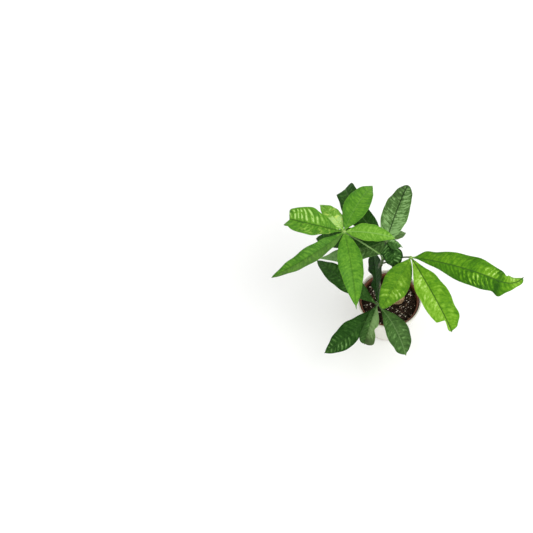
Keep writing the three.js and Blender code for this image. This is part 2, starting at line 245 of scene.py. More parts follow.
def rod(skin: Skin, centres: Array, radii: Array, sides: int, finish: int = 0, **values: Array) -> None:
    """Adds a bent rod with closed ends.

    Args:
        skin: The skin that gets it.
        centres: The points of its centre line.
        radii: The radius at each, or one for each point of each ring.
        sides: How many points a ring has.
        finish: Which finish it wears.
        **values: Three painted numbers for each ring, by name.
    """
    along = unit(np.gradient(centres, axis=0))
    across = unit(np.cross(along[0], [0.3, -1.0, 0.2]))
    angles = np.linspace(0, 2 * math.pi, sides, endpoint=False)
    radii = np.broadcast_to(np.asarray(radii).reshape(len(centres), -1), (len(centres), sides))
    rings = []
    for centre, way, reach in zip(centres, along, radii):
        across = unit(across - way * np.dot(across, way))
        other = np.cross(way, across)
        spokes = np.cos(angles)[:, None] * across + np.sin(angles)[:, None] * other
        rings.append(centre + reach[:, None] * spokes)
    points = np.vstack(rings + [centres[:1], centres[-1:]])
    painted = {}
    for name, rows_of_values in values.items():
        spread = np.repeat(rows_of_values, sides, axis=0)
        painted[name] = np.vstack([spread, rows_of_values[:1], rows_of_values[-1:]])
    skin.add(points, closed_tube_faces(len(centres), sides), finish, **painted)


def turned(skin: Skin, profile: Sequence[tuple[float, float]], sides: int) -> None:
    """Adds a solid turned about the Z axis.

    Args:
        skin: The skin that gets it.
        profile: Its (radius, height) outline, from the axis at the bottom outward and back to the axis.
        sides: How many points a ring has.
    """
    angles = np.linspace(0, 2 * math.pi, sides, endpoint=False)
    inner = [(r, z) for r, z in profile if r > 0]
    points = [[(r * math.cos(a), r * math.sin(a), z) for a in angles] for r, z in inner]
    points = np.array(points).reshape(-1, 3)
    points = np.vstack([points, [(0, 0, profile[0][1]), (0, 0, profile[-1][1])]])
    skin.add(points, closed_tube_faces(len(inner), sides))


def arc(centre: tuple[float, float], radius: float, start: float, end: float, steps: int) -> Outline:
    """Points on an arc in a profile, its angles counted from +radius towards +height."""
    angles = [math.radians(lerp(start, end, i / steps)) for i in range(steps + 1)]
    return [(centre[0] + radius * math.cos(a), centre[1] + radius * math.sin(a)) for a in angles]


def ball(subdivisions: int) -> tuple[list[Vector], list[list[int]]]:
    """A ball of small triangles, which lumps and hubs are shaped from.

    Args:
        subdivisions: How often the triangles are divided.

    Returns:
        Its points and its faces.
    """
    shape = bmesh.new()
    bmesh.ops.create_icosphere(shape, subdivisions=subdivisions, radius=1.0)
    points = [vertex.co.copy() for vertex in shape.verts]
    faces = [[vertex.index for vertex in face.verts] for face in shape.faces]
    shape.free()
    return points, faces


def weld(piece: bpy.types.Object) -> None:
    """Joins the points of a piece that coincide.

    Args:
        piece: The piece, whose mesh is changed.
    """
    shape = bmesh.new()
    shape.from_mesh(piece.data)
    bmesh.ops.remove_doubles(shape, verts=shape.verts, dist=WELD * MM)
    shape.to_mesh(piece.data)
    shape.free()


LUMP = ball(2)
HUB_BALL = ball(4)


# ---------------------------------------------------------------- shader maths


class Cell(Enum):
    """What a cell pattern measures."""

    MIDDLE = "F1"
    EDGE = "DISTANCE_TO_EDGE"


class Wire:
    """A socket of a node tree, on which arithmetic adds Math nodes."""

    def __init__(self, shader: "Shader", socket: Optional[bpy.types.NodeSocket]) -> None:
        """Wraps an output socket of the shader's tree, or none where the tree ends."""
        self.shader = shader
        self.socket = socket

    def _math(self, operation: str, *terms: Any) -> "Wire":
        """Adds a Math node on the terms."""
        return self.shader.node("ShaderNodeMath", {"operation": operation}, dict(enumerate(terms)))

    def __add__(self, other: Any) -> "Wire":
        """This plus another."""
        return self._math("ADD", self, other)

    def __radd__(self, other: Any) -> "Wire":
        """Another plus this."""
        return self._math("ADD", other, self)

    def __sub__(self, other: Any) -> "Wire":
        """This less another."""
        return self._math("SUBTRACT", self, other)

    def __rsub__(self, other: Any) -> "Wire":
        """Another less this."""
        return self._math("SUBTRACT", other, self)

    def __mul__(self, other: Any) -> "Wire":
        """This times another."""
        return self._math("MULTIPLY", self, other)

    def __rmul__(self, other: Any) -> "Wire":
        """Another times this."""
        return self._math("MULTIPLY", other, self)

    def __truediv__(self, other: Any) -> "Wire":
        """This over another."""
        return self._math("DIVIDE", self, other)

    def __rtruediv__(self, other: Any) -> "Wire":
        """Another over this."""
        return self._math("DIVIDE", other, self)

    def __pow__(self, other: Any) -> "Wire":
        """This to a power."""
        return self._math("POWER", self, other)

    def __rpow__(self, other: Any) -> "Wire":
        """Another to the power of this."""
        return self._math("POWER", other, self)

    def __mod__(self, other: Any) -> "Wire":
        """What is left of this after whole steps of another."""
        return self._math("FLOORED_MODULO", self, other)

    def __rmod__(self, other: Any) -> "Wire":
        """What is left of another after whole steps of this."""
        return self._math("FLOORED_MODULO", other, self)

    def __abs__(self) -> "Wire":
        """This without its sign."""
        return self._math("ABSOLUTE", self)


class Shader:
    """A material's node tree, with the few kinds of node that its finishes use."""

    def __init__(self, name: str) -> None:
        """Starts a material with an empty tree.

        Args:
            name: The material's name.
        """
        self.material = bpy.data.materials.new(name)
        self.material.use_nodes = True
        self.tree = self.material.node_tree
        self.tree.nodes.clear()

    def node(
        self,
        kind: str,
        settings: Optional[Mapping[str, Any]] = None,
        inputs: Optional[Mapping[Union[int, str], Any]] = None,
        output: Union[int, str] = 0,
    ) -> Wire:
        """Adds a node.

        Args:
            kind: The node's type.
            settings: Its properties, and a ramp's stops as (position, colour) pairs.
            inputs: Values or wires for its sockets, by number, identifier or name.
            output: The output socket that is wanted.

        Returns:
            That output, as a wire.
        """
        made = self.tree.nodes.new(kind)
        for key, value in (settings or {}).items():
            if key == "stops":
                self._set_stops(made.color_ramp, value)
            else:
                setattr(made, key, value)
        for key, value in (inputs or {}).items():
            socket = self._socket(made.inputs, key)
            if isinstance(value, Wire):
                self.tree.links.new(value.socket, socket)
            elif isinstance(value, tuple) and len(value) == 3 and socket.type == "RGBA":
                socket.default_value = (*value, 1.0)
            else:
                socket.default_value = value
        return Wire(self, self._socket(made.outputs, output) if made.outputs else None)

    @staticmethod
    def _set_stops(ramp: bpy.types.ColorRamp, stops: Sequence[tuple[float, Colour]]) -> None:
        """Gives a colour ramp its stops.

        Args:
            ramp: The ramp of a new node, with its two first stops.
            stops: At least two (position, colour) pairs.
        """
        while len(ramp.elements) < len(stops):
            ramp.elements.new(0.5)
        for element, (position, colour) in zip(ramp.elements, stops):
            element.position = position
            element.color = (*colour, 1.0)

    @staticmethod
    def _socket(sockets: Any, key: Union[int, str]) -> bpy.types.NodeSocket:
        """Finds a socket.

        Args:
            sockets: A node's inputs or outputs.
            key: The socket's number, identifier or name.

        Returns:
            The socket.
        """
        if isinstance(key, int):
            return sockets[key]
        for socket in sockets:
            if socket.identifier == key:
                return socket
        return sockets[key]

    def place(self) -> Wire:
        """The point on the surface, in metres in the object's frame."""
        return self.node("ShaderNodeTexCoord", output="Object")

    def painted(self, name: str) -> tuple[Wire, Wire, Wire]:
        """The three numbers painted on a mesh under a name."""
        vector = self.node("ShaderNodeAttribute", {"attribute_name": name}, output="Vector")
        return tuple(self.node("ShaderNodeSeparateXYZ", inputs={0: vector}, output=i) for i in range(3))

    def height(self) -> Wire:
        """The height above the table, in metres."""
        return self.node("ShaderNodeSeparateXYZ", inputs={0: self.place()}, output=2)

    def stretched(self, scale: Point) -> Wire:
        """The point on the surface, scaled unevenly."""
        return self.node("ShaderNodeMapping", inputs={"Vector": self.place(), "Scale": scale})

    def cloud(self, size: float, detail: float = 3.0, at: Optional[Wire] = None) -> Wire:
        """Soft noise from 0 to 1 with patches of a size in millimetres."""
        inputs = {"Vector": at or self.place(), "Scale": 1.0 / (size * MM), "Detail": detail}
        return self.node("ShaderNodeTexNoise", inputs=inputs, output="Fac")

    def cells(self, size: float, cell: Cell = Cell.MIDDLE, at: Optional[Wire] = None) -> Wire:
        """Distance from the middles or the edges of cells of a size in millimetres."""
        inputs = {"Vector": at or self.place(), "Scale": 1.0 / (size * MM)}
        return self.node("ShaderNodeTexVoronoi", {"feature": cell.value}, inputs, output="Distance")

    def step(self, value: Wire, low: float, high: float) -> Wire:
        """Eases from 0 to 1 as value goes from low to high."""
        inputs = {"Value": value, "From Min": low, "From Max": high}
        return self.node("ShaderNodeMapRange", {"interpolation_type": "SMOOTHSTEP"}, inputs)

    def blend(self, share: Any, first: Any, second: Any) -> Wire:
        """Goes from the first colour to the second as share goes from 0 to 1."""
        inputs = {"Factor_Float": share, "A_Color": first, "B_Color": second}
        return self.node("ShaderNodeMix", {"data_type": "RGBA"}, inputs, output="Result_Color")

    def ramp(self, value: Wire, stops: Sequence[tuple[float, Colour]]) -> Wire:
        """A colour for a value, from stops."""
        return self.node("ShaderNodeValToRGB", {"stops": stops}, {0: value}, output="Color")

    def bump(self, height: Wire, depth: float, under: Optional[Wire] = None) -> Wire:
        """A normal from a height.

        Args:
            height: The height, as a share of the depth.
            depth: The depth in millimetres of a full step.
            under: A coarser normal that it lies on.

        Returns:
            The normal.
        """
        inputs: dict[Union[int, str], Any] = {"Height": height, "Distance": depth * MM, "Strength": 1.0}
        if under:
            inputs["Normal"] = under
        return self.node("ShaderNodeBump", inputs=inputs)

    def surface(self, **sockets: Any) -> bpy.types.Material:
        """Ends the tree in a Principled surface.

        Args:
            **sockets: Values or wires by socket name, with _ for a space.

        Returns:
            The finished material.
        """
        inputs = {name.replace("_", " "): value for name, value in sockets.items()}
        body = self.node("ShaderNodeBsdfPrincipled", inputs=inputs)
        self.node("ShaderNodeOutputMaterial", inputs={"Surface": body})
        return self.material


# ---------------------------------------------------------------- finishes


@dataclass(frozen=True)
class PotGlaze:
    """White glaze over a biscuit foot."""

    white: Colour = (0.71, 0.70, 0.625)
    cream: Colour = (0.65, 0.63, 0.53)
    biscuit: Colour = (0.52, 0.43, 0.33)
    speck: Colour = (0.42, 0.33, 0.22)
    bare_height: float = 0.8  # the glaze stops this far above the table
    bare_edge: float = 0.5
    drift_size: float = 30.0
    speck_size: float = 2.6
    speck_share: float = 0.35
    dent_size: float = 22.0
    dent_depth: float = 0.35
    grain_size: float = 0.7
    grain_depth: float = 0.25

    def material(self) -> bpy.types.Material:
        """Builds the finish.

        Returns:
            The material.
        """
        shader = Shader("pot_glaze")
        drift = shader.cloud(self.drift_size, 2.0)
        specks = shader.step(shader.cells(self.speck_size), 0.16, 0.05)
        specks = specks * shader.step(shader.cloud(9.0), 0.56, 0.66)
        colour = shader.blend(drift, self.white, self.cream)
        colour = shader.blend(specks * self.speck_share, colour, self.speck)
        glazed_from = self.bare_height + self.bare_edge
        bare = shader.step(shader.height(), glazed_from * MM, self.bare_height * MM)
        colour = shader.blend(bare, colour, self.biscuit)
        dents = shader.bump(shader.cloud(self.dent_size, 1.0), self.dent_depth)
        grain = shader.bump(shader.cloud(self.grain_size) * bare, self.grain_depth, under=dents)
        return shader.surface(
            Base_Color=colour,
            Roughness=0.2 + 0.07 * drift + 0.6 * bare,
            Coat_Weight=0.35 * (1 - bare),
            Coat_Roughness=0.08,
            Normal=grain,
        )


@dataclass(frozen=True)
class MouldedPlastic:
    """The thin reddish-brown plastic of the nursery pot, dusty where the mix has touched it."""

    plastic: Colour = (0.175, 0.054, 0.023)
    dust: Colour = (0.18, 0.09, 0.048)
    soil: Colour = (0.030, 0.015, 0.010)
    soiled_from: float = 76.0  # the wall is soiled from this height down, and fully below the next
    soiled_below: float = 71.5
    soil_stray: float = 3.0  # how far the soiled edge wanders
    dust_size: float = 7.0
    streak_size: float = 1.0
    streak_stretch: float = 0.12
    streak_depth: float = 0.12

    def material(self) -> bpy.types.Material:
        """Builds the finish.

        Returns:
            The material.
        """
        shader = Shader("nursery_plastic")
        dusty = shader.step(shader.cloud(self.dust_size, 5.0), 0.5, 0.75)
        colour = shader.blend(dusty * 0.5, self.plastic, self.dust)
        edge = shader.height() + self.soil_stray * MM * (shader.cloud(4.0) - 0.5)
        soiled = shader.step(edge, self.soiled_from * MM, self.soiled_below * MM)
        colour = shader.blend(soiled * 0.75, colour, self.soil)
        upright = shader.stretched((1.0, 1.0, self.streak_stretch))
        streaks = shader.cloud(self.streak_size, 2.0, at=upright)
        return shader.surface(
            Base_Color=colour,
            Roughness=0.38 + 0.3 * dusty,
            Normal=shader.bump(streaks, self.streak_depth),
        )


@dataclass(frozen=True)
class PottingMix:
    """Moist peat and bark crumbs."""

    painted_highlight_mask: Colour = (0.005, 0.0025, 0.0012)
    peat: Colour = (0.014, 0.007, 0.004)
    dry: Colour = (0.055, 0.033, 0.019)
    clod_size: float = 2.2
    crumb_size: float = 1.3
    grit_size: float = 0.8
    depth: float = 0.5
    gloss: float = 0.12

    def material(self) -> bpy.types.Material:
        """Builds the finish.

        Returns:
            The material.
        """
        shader = Shader("potting_mix")
        clods = shader.cloud(self.clod_size, 6.0)
        crumbs = shader.cells(self.crumb_size)
        stops = [(0.28, self.painted_highlight_mask), (0.5, self.peat), (0.78, self.dry)]
        return shader.surface(
            Base_Color=shader.ramp(clods * 0.75 + crumbs * 0.35, stops),
            Roughness=0.75 + 0.2 * clods,
            Specular_IOR_Level=self.gloss,
            Normal=shader.bump(shader.cloud(self.grit_size, 5.0) + crumbs, self.depth),
        )


@dataclass(frozen=True)
class PerliteGrain:
    """Pale, chalky puffed grains, a little stained."""

    chalk: Colour = (0.80, 0.74, 0.62)
    stain: Colour = (0.26, 0.18, 0.11)
    stain_size: float = 2.5
    pit_size: float = 0.5
    pit_depth: float = 0.2

    def material(self) -> bpy.types.Material:
        """Builds the finish.

        Returns:
            The material.
        """
        shader = Shader("perlite_grain")
        stained = shader.step(shader.cloud(self.stain_size, 4.0), 0.42, 0.66)
        colour = shader.blend(stained, self.chalk, self.stain)
        pits = shader.bump(shader.cloud(self.pit_size, 4.0), self.pit_depth)
        return shader.surface(Base_Color=colour, Roughness=0.9, Normal=pits)


@dataclass(frozen=True)
class BarkChip:
    """Reddish-brown flakes of composted bark."""

    dark: Colour = (0.025, 0.011, 0.006)
    red: Colour = (0.11, 0.050, 0.024)
    grain_size: float = 1.6
    grain_depth: float = 0.3

    def material(self) -> bpy.types.Material:
        """Builds the finish.

        Returns:
            The material.
        """
        shader = Shader("bark_chip")
        grain = shader.cloud(self.grain_size, 5.0)
        colour = shader.blend(shader.step(grain, 0.35, 0.7), self.dark, self.red)
        relief = shader.bump(grain, self.grain_depth)
        return shader.surface(Base_Color=colour, Roughness=0.85, Normal=relief)


@dataclass(frozen=True)
class RoughBark:
    """Grey-brown bark, fissured lengthways, of the stump's side."""

    furrow: Colour = (0.10, 0.06, 0.03)
    bark: Colour = (0.46, 0.30, 0.15)
    pale: Colour = (0.66, 0.48, 0.28)
    stretch: float = 0.3
    plate_size: float = 3.4
    fibre_size: float = 1.4
    depth: float = 0.9

    def material(self) -> bpy.types.Material:
        """Builds the finish.

        Returns:
            The material.
        """
        shader = Shader("rough_bark")
        lengthways = shader.stretched((1.0, 1.0, self.stretch))
        plates = shader.cells(self.plate_size, Cell.EDGE, at=lengthways)
        fibres = shader.cloud(self.fibre_size, 6.0, at=lengthways)
        stops = [(0.1, self.furrow), (0.42, self.bark), (0.85, self.pale)]
        colour = shader.ramp(fibres * 0.8 + plates * 0.7, stops)
        relief = shader.bump(shader.step(plates, 0.0, 0.22) + 0.6 * fibres, self.depth)
        return shader.surface(Base_Color=colour, Roughness=0.86 - 0.1 * fibres, Normal=relief)


@dataclass(frozen=True)
class CutWood:
    """The stump's dry cut top: rings, drying cracks and a dark rim of bark."""

    centre: tuple[float, float]
    radius: float
    pale: Colour = (0.78, 0.55, 0.30)
    ring: Colour = (0.50, 0.32, 0.155)
    rim: Colour = (0.22, 0.13, 0.07)
    rings: float = 9.0
    cracks: float = 1.9  # cracks to each radian
    wobble_size: float = 6.0
    fibre_size: float = 0.9
    depth: float = 0.35

    def material(self) -> bpy.types.Material:
        """Builds the finish.

        Returns:
            The material.
        """
        shader = Shader("cut_wood")
        x, y = self.centre
        moved = shader.node(
            "ShaderNodeMapping", inputs={"Vector": shader.place(), "Location": (-x * MM, -y * MM, 0.0)}
        )
        east = shader.node("ShaderNodeSeparateXYZ", inputs={0: moved}, output="X")
        north = shader.node("ShaderNodeSeparateXYZ", inputs={0: moved}, output="Y")
        away = (east * east + north * north) ** 0.5 / (self.radius * MM)
        wobble = shader.cloud(self.wobble_size, 3.0)
        ripple = abs((away * self.rings + wobble * 1.6) % 1.0 - 0.5) * 2.0
        angle = shader.node("ShaderNodeMath", {"operation": "ARCTAN2"}, {0: north, 1: east})
        crack = shader.step(abs((angle * self.cracks + wobble * 1.2) % 1.0 - 0.5), 0.07, 0.0)
        crack = crack * shader.step(away, 0.12, 0.4) * shader.step(away, 0.98, 0.8)
        colour = shader.blend(shader.step(ripple, 0.1, 0.8), self.ring, self.pale)
        colour = shader.blend(shader.step(shader.cloud(3.0, 5.0), 0.45, 0.8) * 0.5, colour, self.ring)
        colour = shader.blend(crack * 0.85, colour, self.rim)
        colour = shader.blend(shader.step(away, 0.90, 0.98), colour, self.rim)
        fibres = shader.cloud(self.fibre_size, 4.0)
        relief = shader.bump(0.35 * ripple - 1.2 * crack + 0.4 * fibres, self.depth)
        return shader.surface(Base_Color=colour, Roughness=0.8, Normal=relief)


@dataclass(frozen=True)
class GreenBark:
    """Young grey-green bark with pale pores and brown leaf scars, green towards the tip."""

    low: float
    high: float
    grey: Colour = (0.088, 0.108, 0.046)
    green: Colour = (0.038, 0.086, 0.016)
    pore: Colour = (0.18, 0.19, 0.12)
    scar: Colour = (0.10, 0.065, 0.035)
    streak_size: float = 1.7
    streak_stretch: float = 0.14
    pore_size: float = 1.9
    pore_stretch: float = 0.5
    depth: float = 0.22

    def material(self) -> bpy.types.Material:
        """Builds the finish.

        Returns:
            The material.
        """
        shader = Shader("green_bark")
        scar, _, _ = shader.painted("stem")
        up = shader.step(shader.height(), self.low * MM, self.high * MM)
        streak = shader.cloud(self.streak_size, 4.0, at=shader.stretched((1.0, 1.0, self.streak_stretch)))
        colour = shader.blend(up, self.grey, self.green)
        colour = shader.blend(shader.step(streak, 0.45, 0.72) * 0.55, colour, self.pore)
        pores = shader.cells(self.pore_size, at=shader.stretched((1.0, 1.0, self.pore_stretch)))
        pores = shader.step(pores, 0.2, 0.1) * (1 - up) * shader.step(shader.cloud(5.0), 0.42, 0.55)
        colour = shader.blend(pores * 0.8, colour, self.pore)
        colour = shader.blend(scar * 0.8, colour, self.scar)
        relief = shader.bump(streak + pores + 0.5 * scar * shader.cloud(0.6), self.depth)
        return shader.surface(Base_Color=colour, Roughness=0.5 + 0.25 * scar, Normal=relief)


@dataclass(frozen=True)
class Stalk:
    """Smooth green of the leaf stalks."""

    name: str
    green: Colour
    pale: Colour
    streak_size: float = 2.5
    streak_depth: float = 0.1
    roughness: float = 0.42

    def material(self) -> bpy.types.Material:
        """Builds the finish.

        Returns:
            The material.
        """
        shader = Shader(self.name)
        streak = shader.cloud(self.streak_size, 4.0)
        colour = shader.blend(shader.step(streak, 0.3, 0.75), self.green, self.pale)
        relief = shader.bump(streak, self.streak_depth)
        return shader.surface(Base_Color=colour, Roughness=self.roughness, Normal=relief)


@dataclass(frozen=True)
class LeafBlade:
    """A leathery, waxy blade whose colour follows the values painted on its mesh.

    A leaf mesh carries four painted values: paint (tone, dullness, rib), vein (the rank of the side
    veins, millimetres from the midrib, share of the way to the edge), touch (sheen, a painted
    highlight; mottle; tip) and relief (how dark the veins are, as painted shade in their grooves;
    looseness of the streaks; underside). The tone is partly the leaf's own colour and partly painted
    light and shade.
    """

    name: str
    tones: tuple[tuple[float, Colour], ...]
    dull: Colour
    pale_rib: Colour
    dark_rib: Colour
    mottle: Colour
    brown: Colour = (0.10, 0.055, 0.018)
    roughness: float = 0.40
    gloss: float = 0.12
    patch_size: float = 16.0
    patch_share: float = 0.34  # how far the patches lift or lower the tone
    fine_size: float = 2.4
    fine_share: float = 0.34
    streaks: float = 2.2  # streaks from one side vein to the next
    streak_across: float = 0.16  # how often a streak changes in a millimetre outward
    streak_share: float = 0.45
    # how far the painted highlight lifts the tone
    painted_highlight_share: float = 0.36
    net_size: float = 1.5
    net_depth: float = 0.05
    blotch_size: float = 5.5
    scorch_size: float = 11.0
    relief_depth: float = 0.22

    def material(self) -> bpy.types.Material:
        """Builds the finish.

        Returns:
            The material.
        """
        shader = Shader(self.name)
        tone, dull, rib = shader.painted("paint")
        rank, across, edge = shader.painted("vein")
        sheen, mottle, tip = shader.painted("touch")
        veined, loose, beneath = shader.painted("relief")
        patch = shader.cloud(self.patch_size, 3.0)
        fine = shader.cloud(self.fine_size, 4.0)
        # streaks run outward with the side veins, a few to each gap between them; they vary the tone and also
        # place the painted highlight
        axes = {0: rank * self.streaks, 1: across * self.streak_across, 2: tone}
        outward = shader.node("ShaderNodeCombineXYZ", inputs=axes)
        streak = shader.node("ShaderNodeTexNoise", inputs={"Vector": outward, "Scale": 1.0, "Detail": 3.0})
        net = shader.cells(self.net_size, Cell.EDGE)
        # side veins are lines where the rank is whole, their colour darkened as painted shade in their
        # grooves; crests lie between them
        from_vein = abs((rank + 0.5) % 1.0 - 0.5)
        vein = shader.step(from_vein, 0.11, 0.02) * shader.step(edge, 0.98, 0.7)
        crest = shader.step(from_vein, 0.16, 0.44) * shader.step(edge, 0.03, 0.2)
        crest = (crest + 0.55 * loose * (1 - crest)) * shader.step(edge, 0.97, 0.75)
        midrib = shader.step(abs(across), 1.4, 0.5)
        # painted highlight: pale colour on the crests between the veins, where streaks and patches allow,
        # scaled by the sheen
        painted_highlight_mask = streak + 0.4 * (patch - 0.5) + 0.1 * shader.step(sheen, 0.0, 1.0)
        painted_highlight = crest * sheen * shader.step(painted_highlight_mask, 0.46, 0.64)
        # the tone with patches and streaks, darker on the side veins as painted shade, lifted by the painted
        # highlight, darker towards the edge and paler at the very rim
        level = tone + self.patch_share * (patch - 0.5) + self.fine_share * (fine - 0.5)
        level = level + (self.streak_share + 0.4 * loose) * (streak - 0.5)
        level = level - veined * vein + self.painted_highlight_share * painted_highlight - 0.10 * shader.step(edge, 0.55, 0.9)
        level = level + 0.16 * shader.step(edge, 0.93, 1.0)
        colour = shader.ramp(level, self.tones)
        faded = shader.blend(0.45 + 0.4 * patch, colour, self.dull)
        colour = shader.blend(dull, colour, faded)
        blotch = shader.step(shader.cloud(self.blotch_size, 2.0), 0.53, 0.66) * mottle
        colour = shader.blend(blotch, colour, self.mottle)
        # a paler midrib is its own colour; a darker one is partly its own colour and partly painted shade in
        # its groove
        light_rib = shader.step(rib, 0.0, 1.0) * midrib
        dark_rib = shader.step(rib, 0.0, -1.0) * midrib
        colour = shader.blend(light_rib * 0.85, colour, self.pale_rib)
        colour = shader.blend(dark_rib * 0.8, colour, self.dark_rib)
        colour = shader.blend(shader.step(tip, 0.045, 0.02) * 0.8, colour, self.pale_rib)
        scorch = shader.step(shader.cloud(self.scorch_size, 4.0), 0.71, 0.76) * shader.step(edge, 0.5, 0.95)
        scorch = scorch + shader.step(tip, 0.985, 0.998) * 0.7
        colour = shader.blend(scorch * 0.75, colour, self.brown)
        netted = shader.bump(shader.step(net, 0.0, 0.25), self.net_depth)
        grooves = -0.7 * vein - 0.9 * midrib + 0.3 * fine
        grooved = shader.bump(grooves, self.relief_depth, under=netted)
        return shader.surface(
            Base_Color=colour,
            Roughness=self.roughness + 0.12 * (patch - 0.5) + 0.2 * dull + 0.2 * beneath,
            Specular_IOR_Level=self.gloss,
            Normal=grooved,
        )


@dataclass(frozen=True)
class Paper:
    """The plain pale surface under the pot."""

    white: Colour = (0.93, 0.93, 0.925)
    shade: Colour = (0.915, 0.915, 0.91)
    shade_size: float = 300.0
    tooth_size: float = 1.2
    tooth_depth: float = 0.03

    def material(self) -> bpy.types.Material:
        """Builds the finish.

        Returns:
            The material.
        """
        shader = Shader("pale_paper")
        colour = shader.blend(shader.cloud(self.shade_size, 1.0), self.white, self.shade)
        tooth = shader.bump(shader.cloud(self.tooth_size, 3.0), self.tooth_depth)
        return shader.surface(Base_Color=colour, Roughness=0.8, Normal=tooth)


YOUNG_BLADE = LeafBlade(
    name="young_leaf_blade",
    tones=(
        (0.0, (0.018, 0.080, 0.004)),
        (0.35, (0.052, 0.185, 0.008)),
        (0.6, (0.115, 0.300, 0.018)),
        (0.8, (0.205, 0.425, 0.048)),
        (1.0, (0.400, 0.630, 0.180)),
    ),
    dull=(0.13, 0.21, 0.060),
    pale_rib=(0.22, 0.42, 0.09),
    dark_rib=(0.026, 0.085, 0.008),
    mottle=(0.52, 0.70, 0.12),
)
RIPE_BLADE = replace(
    YOUNG_BLADE,
    name="ripe_leaf_blade",
    tones=(
        (0.0, (0.016, 0.076, 0.002)),
        (0.35, (0.054, 0.185, 0.004)),
        (0.6, (0.122, 0.300, 0.009)),
        (0.8, (0.215, 0.425, 0.036)),
        (1.0, (0.430, 0.640, 0.170)),
    ),
    gloss=0.08,
)
OLD_BLADE = LeafBlade(
    name="old_leaf_blade",
    tones=(
        (0.0, (0.004, 0.018, 0.002)),
        (0.3, (0.011, 0.046, 0.005)),
        (0.5, (0.024, 0.080, 0.011)),
        (0.75, (0.062, 0.155, 0.030)),
        (1.0, (0.210, 0.390, 0.130)),
    ),
    dull=(0.18, 0.24, 0.100),
    pale_rib=(0.12, 0.22, 0.070),
    dark_rib=(0.008, 0.028, 0.005),
    mottle=(0.15, 0.26, 0.06),
    gloss=0.05,
)


# ---------------------------------------------------------------- pieces


class Slot(Enum):
    """The record's material slots."""

    GLAZE = "glaze"
    NURSERY_PLASTIC = "nursery_plastic"
    POTTING_MIX = "potting_mix"
    BARK = "bark"
    GREEN_BARK = "green_bark"
    YOUNG_LEAF = "young_leaf"
    OLD_LEAF = "old_leaf"


def hand_over(piece: bpy.types.Object, slot: Slot, *nodes: str) -> bpy.types.Object:
    """Gives a piece its body and hides the solids that it stands for.

    Args:
        piece: The finished piece.
        slot: Not used.
        *nodes: The solids that it replaces.

    Returns:
        The piece.
    """
    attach(piece, BODY)
    if nodes:
        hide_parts(*nodes)
    log.info("%s: %d faces, for %s", piece.name, len(piece.data.polygons), ", ".join(nodes) or "itself")
    return piece


@dataclass
class CoverPot:
    """The white tapered cover pot."""

    rim_radius: float = 52.0
    foot_radius: float = 37.5
    height: float = 82.0
    wall: float = 2.6
    floor: float = 4.0
    bevel: float = 1.5
    inner_round: float = 5.0
    outside_part: Ends = (0.06, 0.96)  # where the straight wall starts and ends, as shares of the height
    inside_part: Ends = (0.96, 0.14)
    floor_ring: float = 12.0  # radius of a ring of points that keeps the inside floor flat
    foot_ring: float = 8.0  # the same under the foot, counted inward from the bevel
    outside_rows: int = 24
    inside_rows: int = 16
    sides: int = 144
    finish: PotGlaze = field(default_factory=PotGlaze)

    @property
    def slope(self) -> float:
        """How much the radius grows with height."""
        return (self.rim_radius - self.foot_radius) / self.height

    def inside(self, z: float) -> float:
        """The inside radius at a height above the table."""
        return self.foot_radius + self.slope * z - self.wall

    def build(self) -> bpy.types.Object:
        """Makes the piece.

        Returns:
            The piece.
        """
        half = self.wall / 2
        lean = math.degrees(math.atan(self.slope))
        lip = (self.inside(self.height - half) + half, self.height - half)
        profile = [(0.0, 0.0), (self.foot_radius - self.bevel - self.foot_ring, 0.0)]
        profile += arc((self.foot_radius - self.bevel, self.bevel), self.bevel, -90, -lean, 5)
        shares = np.linspace(*self.outside_part, self.outside_rows)
        profile += [self._wall_point(share, self.wall) for share in shares]
        profile += arc(lip, half, -lean, 180 - lean, 12)
        shares = np.linspace(*self.inside_part, self.inside_rows)
        profile += [self._wall_point(share, 0.0) for share in shares]
        low = self.floor + self.inner_round
        corner = (self.inside(low) - self.inner_round, low)
        profile += arc(corner, self.inner_round, -lean, -90, 6)
        profile += [(self.floor_ring, self.floor), (0.0, self.floor)]
        skin = Skin()
        turned(skin, profile, self.sides)
        piece = skin.build("glazed_cover_pot", [self.finish.material()])
        return hand_over(piece, Slot.GLAZE, "cover_pot")

    def _wall_point(self, share: float, out: float) -> tuple[float, float]:
        """A point on the wall a share of the way up, out from its inner face."""
        z = share * self.height
        return self.inside(z) + out, z


